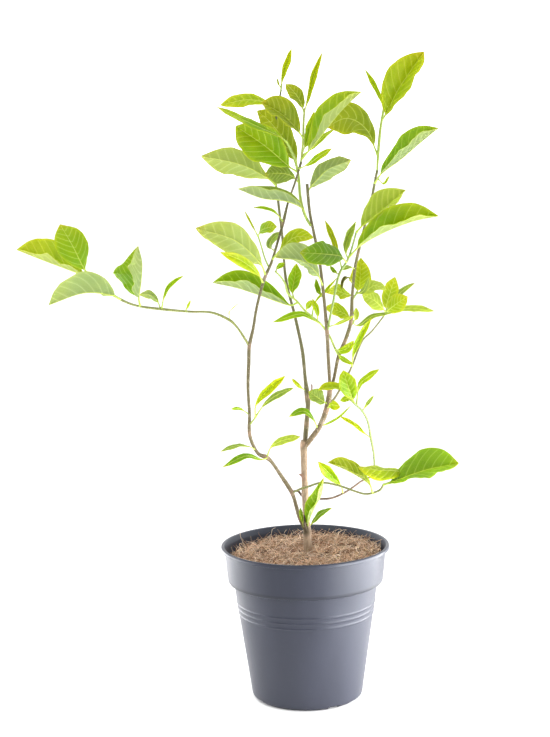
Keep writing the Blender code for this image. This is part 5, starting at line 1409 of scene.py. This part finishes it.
def bark_finish():
    """Thin smooth bark: fine ridges, grey bloom, pores and darker patches."""
    finish = Finish("bark", 0.75, Specular_IOR_Level=0.3)
    ridge = finish.noise(700, 5, 0.65, finish.stretched(1, 1, 0.16))
    patch = finish.noise(75, 4, 0.6)
    pores = finish.smooth(finish.cells(420, "F1"), 0.08, 0.24, 0.75, 0)
    finish.colour(finish.stored("tint"),
                  (finish.smooth(ridge, 0.35, 0.7, 0, 0.5), rgba(96, 82, 62)),
                  (finish.smooth(patch, 0.52, 0.75, 0, 0.36), rgba(190, 178, 160)),
                  (pores, rgba(206, 186, 160)))
    height = finish.total(finish.product(ridge, -1.0), finish.product(pores, 0.7))
    finish.bump(height, 0.0006, 0.9)
    finish.rough(finish.smooth(patch, 0.3, 0.7, 0.62, 0.85))
    return finish.material


def plastic_finish():
    """Moulded anthracite plastic: satin, fine grain, flow marks and dust, painted light on the inside
    faces and towards the foot, painted shade under the collar.
    """
    finish = Finish("anthracite_plastic", 0.4, Specular_IOR_Level=0.36,
                    Specular_Tint=(0.89, 0.93, 1, 1))
    grain = finish.noise(2600, 2)
    flow = finish.noise(26, 4, 0.55, finish.stretched(1, 1, 0.3))
    dust = finish.noise(180, 6, 0.7)

    # More than 0 where a face looks away from the pot's axis
    normal = finish.node("ShaderNodeNewGeometry").outputs["Normal"]
    outward = finish.node("ShaderNodeVectorMath", {0: finish.stretched(1, 1, 0), 1: normal},
                          operation="DOT_PRODUCT").outputs["Value"]

    # Painted light paler towards the foot below the collar, and painted shade in a band round the
    # collar's foot; heights in millimetres over the collar's foot
    height = finish.math("MULTIPLY_ADD", finish.parts(finish.place())[2], 1 / MM,
                         -COLLAR_FOOT_HEIGHT)
    # painted light: paler towards the foot, fading out at the collar
    painted_foot_light = finish.product(finish.smooth(height, FOOT_ROUND - COLLAR_FOOT_HEIGHT, 0, 0.15, 0.05),
                          finish.smooth(height, -4, 0, 1, 0))
    # painted shade: a dark band round the collar's foot
    painted_collar_shade = finish.product(finish.smooth(height, -4.5, -1), finish.smooth(height, 0, 1.5, 1, 0),
                            0.5)
    finish.colour(finish.mix(finish.smooth(flow, 0.3, 0.7), rgba(*POT_DARK), rgba(*POT_LIGHT)),
                  (finish.smooth(dust, 0.55, 0.8, 0, 0.02), rgba(150, 150, 152)),
                  # painted light: inner faces painted paler
                  (finish.smooth(outward, -0.03, -0.01, 0.9, 0), rgba(*POT_INSIDE_PAINTED_LIGHT)),
                  (painted_foot_light, rgba(*POT_FOOT_PAINTED_LIGHT)), (painted_collar_shade, rgba(*POT_COLLAR_PAINTED_SHADE)))
    relief = finish.total(finish.product(grain, 0.6), finish.product(flow, 2.5))
    finish.bump(relief, 0.00012, 0.5)
    finish.rough(finish.smooth(flow, 0.25, 0.75, 0.36, 0.47))
    return finish.material


def soil_finish():
    """Dark damp compost with brown fibre and crumbs."""
    finish = Finish("compost", 0.95, Specular_IOR_Level=0.2)
    fibre = finish.noise(600, 6, 0.7)
    patch = finish.noise(45, 3)
    brown = finish.mix(finish.smooth(fibre, 0.35, 0.7), rgba(46, 30, 24), rgba(112, 80, 60))
    finish.colour(brown, (finish.smooth(patch, 0.4, 0.65, 0, 0.5), rgba(84, 58, 44)))
    height = finish.total(finish.product(finish.cells(330, "F1"), 1.2), fibre)
    finish.bump(height, 0.0015)
    return finish.material


def fibre_finish():
    """Coir fibre: tinted straw brown with darker flecks along it."""
    finish = Finish("coir_fibre", 0.7, Specular_IOR_Level=0.35)
    fleck = finish.noise(520, 3, 0.6)
    finish.colour(finish.stored("tint"),
                  (finish.smooth(fleck, 0.45, 0.75, 0, 0.45), rgba(104, 72, 48)),
                  (finish.smooth(fleck, 0.2, 0.42, 0.35, 0), rgba(226, 196, 150)))
    finish.bump(finish.noise(2400, 2), 0.0001, 0.7)
    finish.rough(finish.smooth(fleck, 0.3, 0.7, 0.6, 0.85))
    return finish.material


# Stage

def camera():
    """The fitted camera at the eye."""
    data = bpy.data.cameras.new("camera")
    data.sensor_width = SENSOR_WIDTH
    data.lens = LENS
    made = placed("camera", data)
    tilt = Matrix.Rotation(math.radians(90 - CAMERA_PITCH), 4, "X")
    roll = Matrix.Rotation(math.radians(-CAMERA_ROLL), 4, "Z")
    made.matrix_world = Matrix.Translation(Vector(EYE) * MM) @ tilt @ roll
    bpy.context.scene.camera = made


def soft_light(name, place, size, radiance, aim):
    """A softbox at place that faces aim."""
    data = bpy.data.lights.new(name, "AREA")
    data.shape = "RECTANGLE"
    data.size, data.size_y = size
    data.energy = radiance * math.pi * size[0] * size[1]
    made = placed(name, data)
    made.location = place
    made.rotation_euler = (Vector(aim) - Vector(place)).to_track_quat("-Z", "Y").to_euler()
    made.visible_camera = False


def studio():
    """Pale surroundings: dim in front, bright behind and above."""
    world = bpy.data.worlds.new("studio")
    world.use_nodes = True
    nodes = Nodes(world.node_tree)
    _, back, up = nodes.parts(nodes.node("ShaderNodeTexCoord").outputs["Generated"])
    level = nodes.total(nodes.smooth(back, -0.6, 0.7, SKY_FRONT, SKY_BACK),
                        nodes.smooth(up, 0.1, 0.9, 0, SKY_TOP))
    seen_directly = nodes.node("ShaderNodeLightPath").outputs["Is Camera Ray"]
    level = nodes.math("MAXIMUM", level, nodes.product(seen_directly, BACKDROP))
    sky = world.node_tree.nodes["Background"].inputs
    nodes.put(sky["Color"], (1, 1, 1, 1))
    nodes.put(sky["Strength"], level)
    bpy.context.scene.world = world


def stage():
    """A plain pale floor in soft studio light."""
    bpy.ops.mesh.primitive_plane_add(size=FLOOR_SIZE, location=(0, 0, -FLOOR_GAP))
    floor = bpy.context.object
    floor.name = "floor"
    finish = Finish("pale_floor", 0.8, Specular_IOR_Level=0.1)
    grain = finish.smooth(finish.noise(40, 3), 0.3, 0.7)
    finish.colour(rgba(240, 240, 241), (grain, rgba(243, 243, 243)))
    floor.data.materials.append(finish.material)
    studio()
    for name, settings in SOFTBOXES.items():
        soft_light(name, *settings)


def main():
    """The stage, then the leaves, the wood, the pot, and the soil with its coir."""
    camera()
    stage()
    bpy.context.scene.view_settings.view_transform = "Standard"

    blade_materials = [blade_finish("leaf_top", True), blade_finish("leaf_under", False),
                       green_stem_finish()]
    slots = {one["node"]: one["material_slot"] for one in frame["record"]["subparts"]}
    for number, (name, (twigs, leaves)) in enumerate(SPRAYS.items()):
        made = spray(name, twigs, leaves, number, blade_materials)
        show(made, slots[name], name)

    show(wood(bark_finish()), "wood", "wood")
    show(pot(plastic_finish()), "pot", "pot")
    ground = Ground(SOIL_SEED)
    show(soil(ground, soil_finish()), "soil", "soil")
    fibre = fibre_finish()
    for i, kind in enumerate(COIR):
        show(coir(kind, COIR_SEED + i, ground, fibre), "soil")
    show(strands(fibre), "soil")


main()
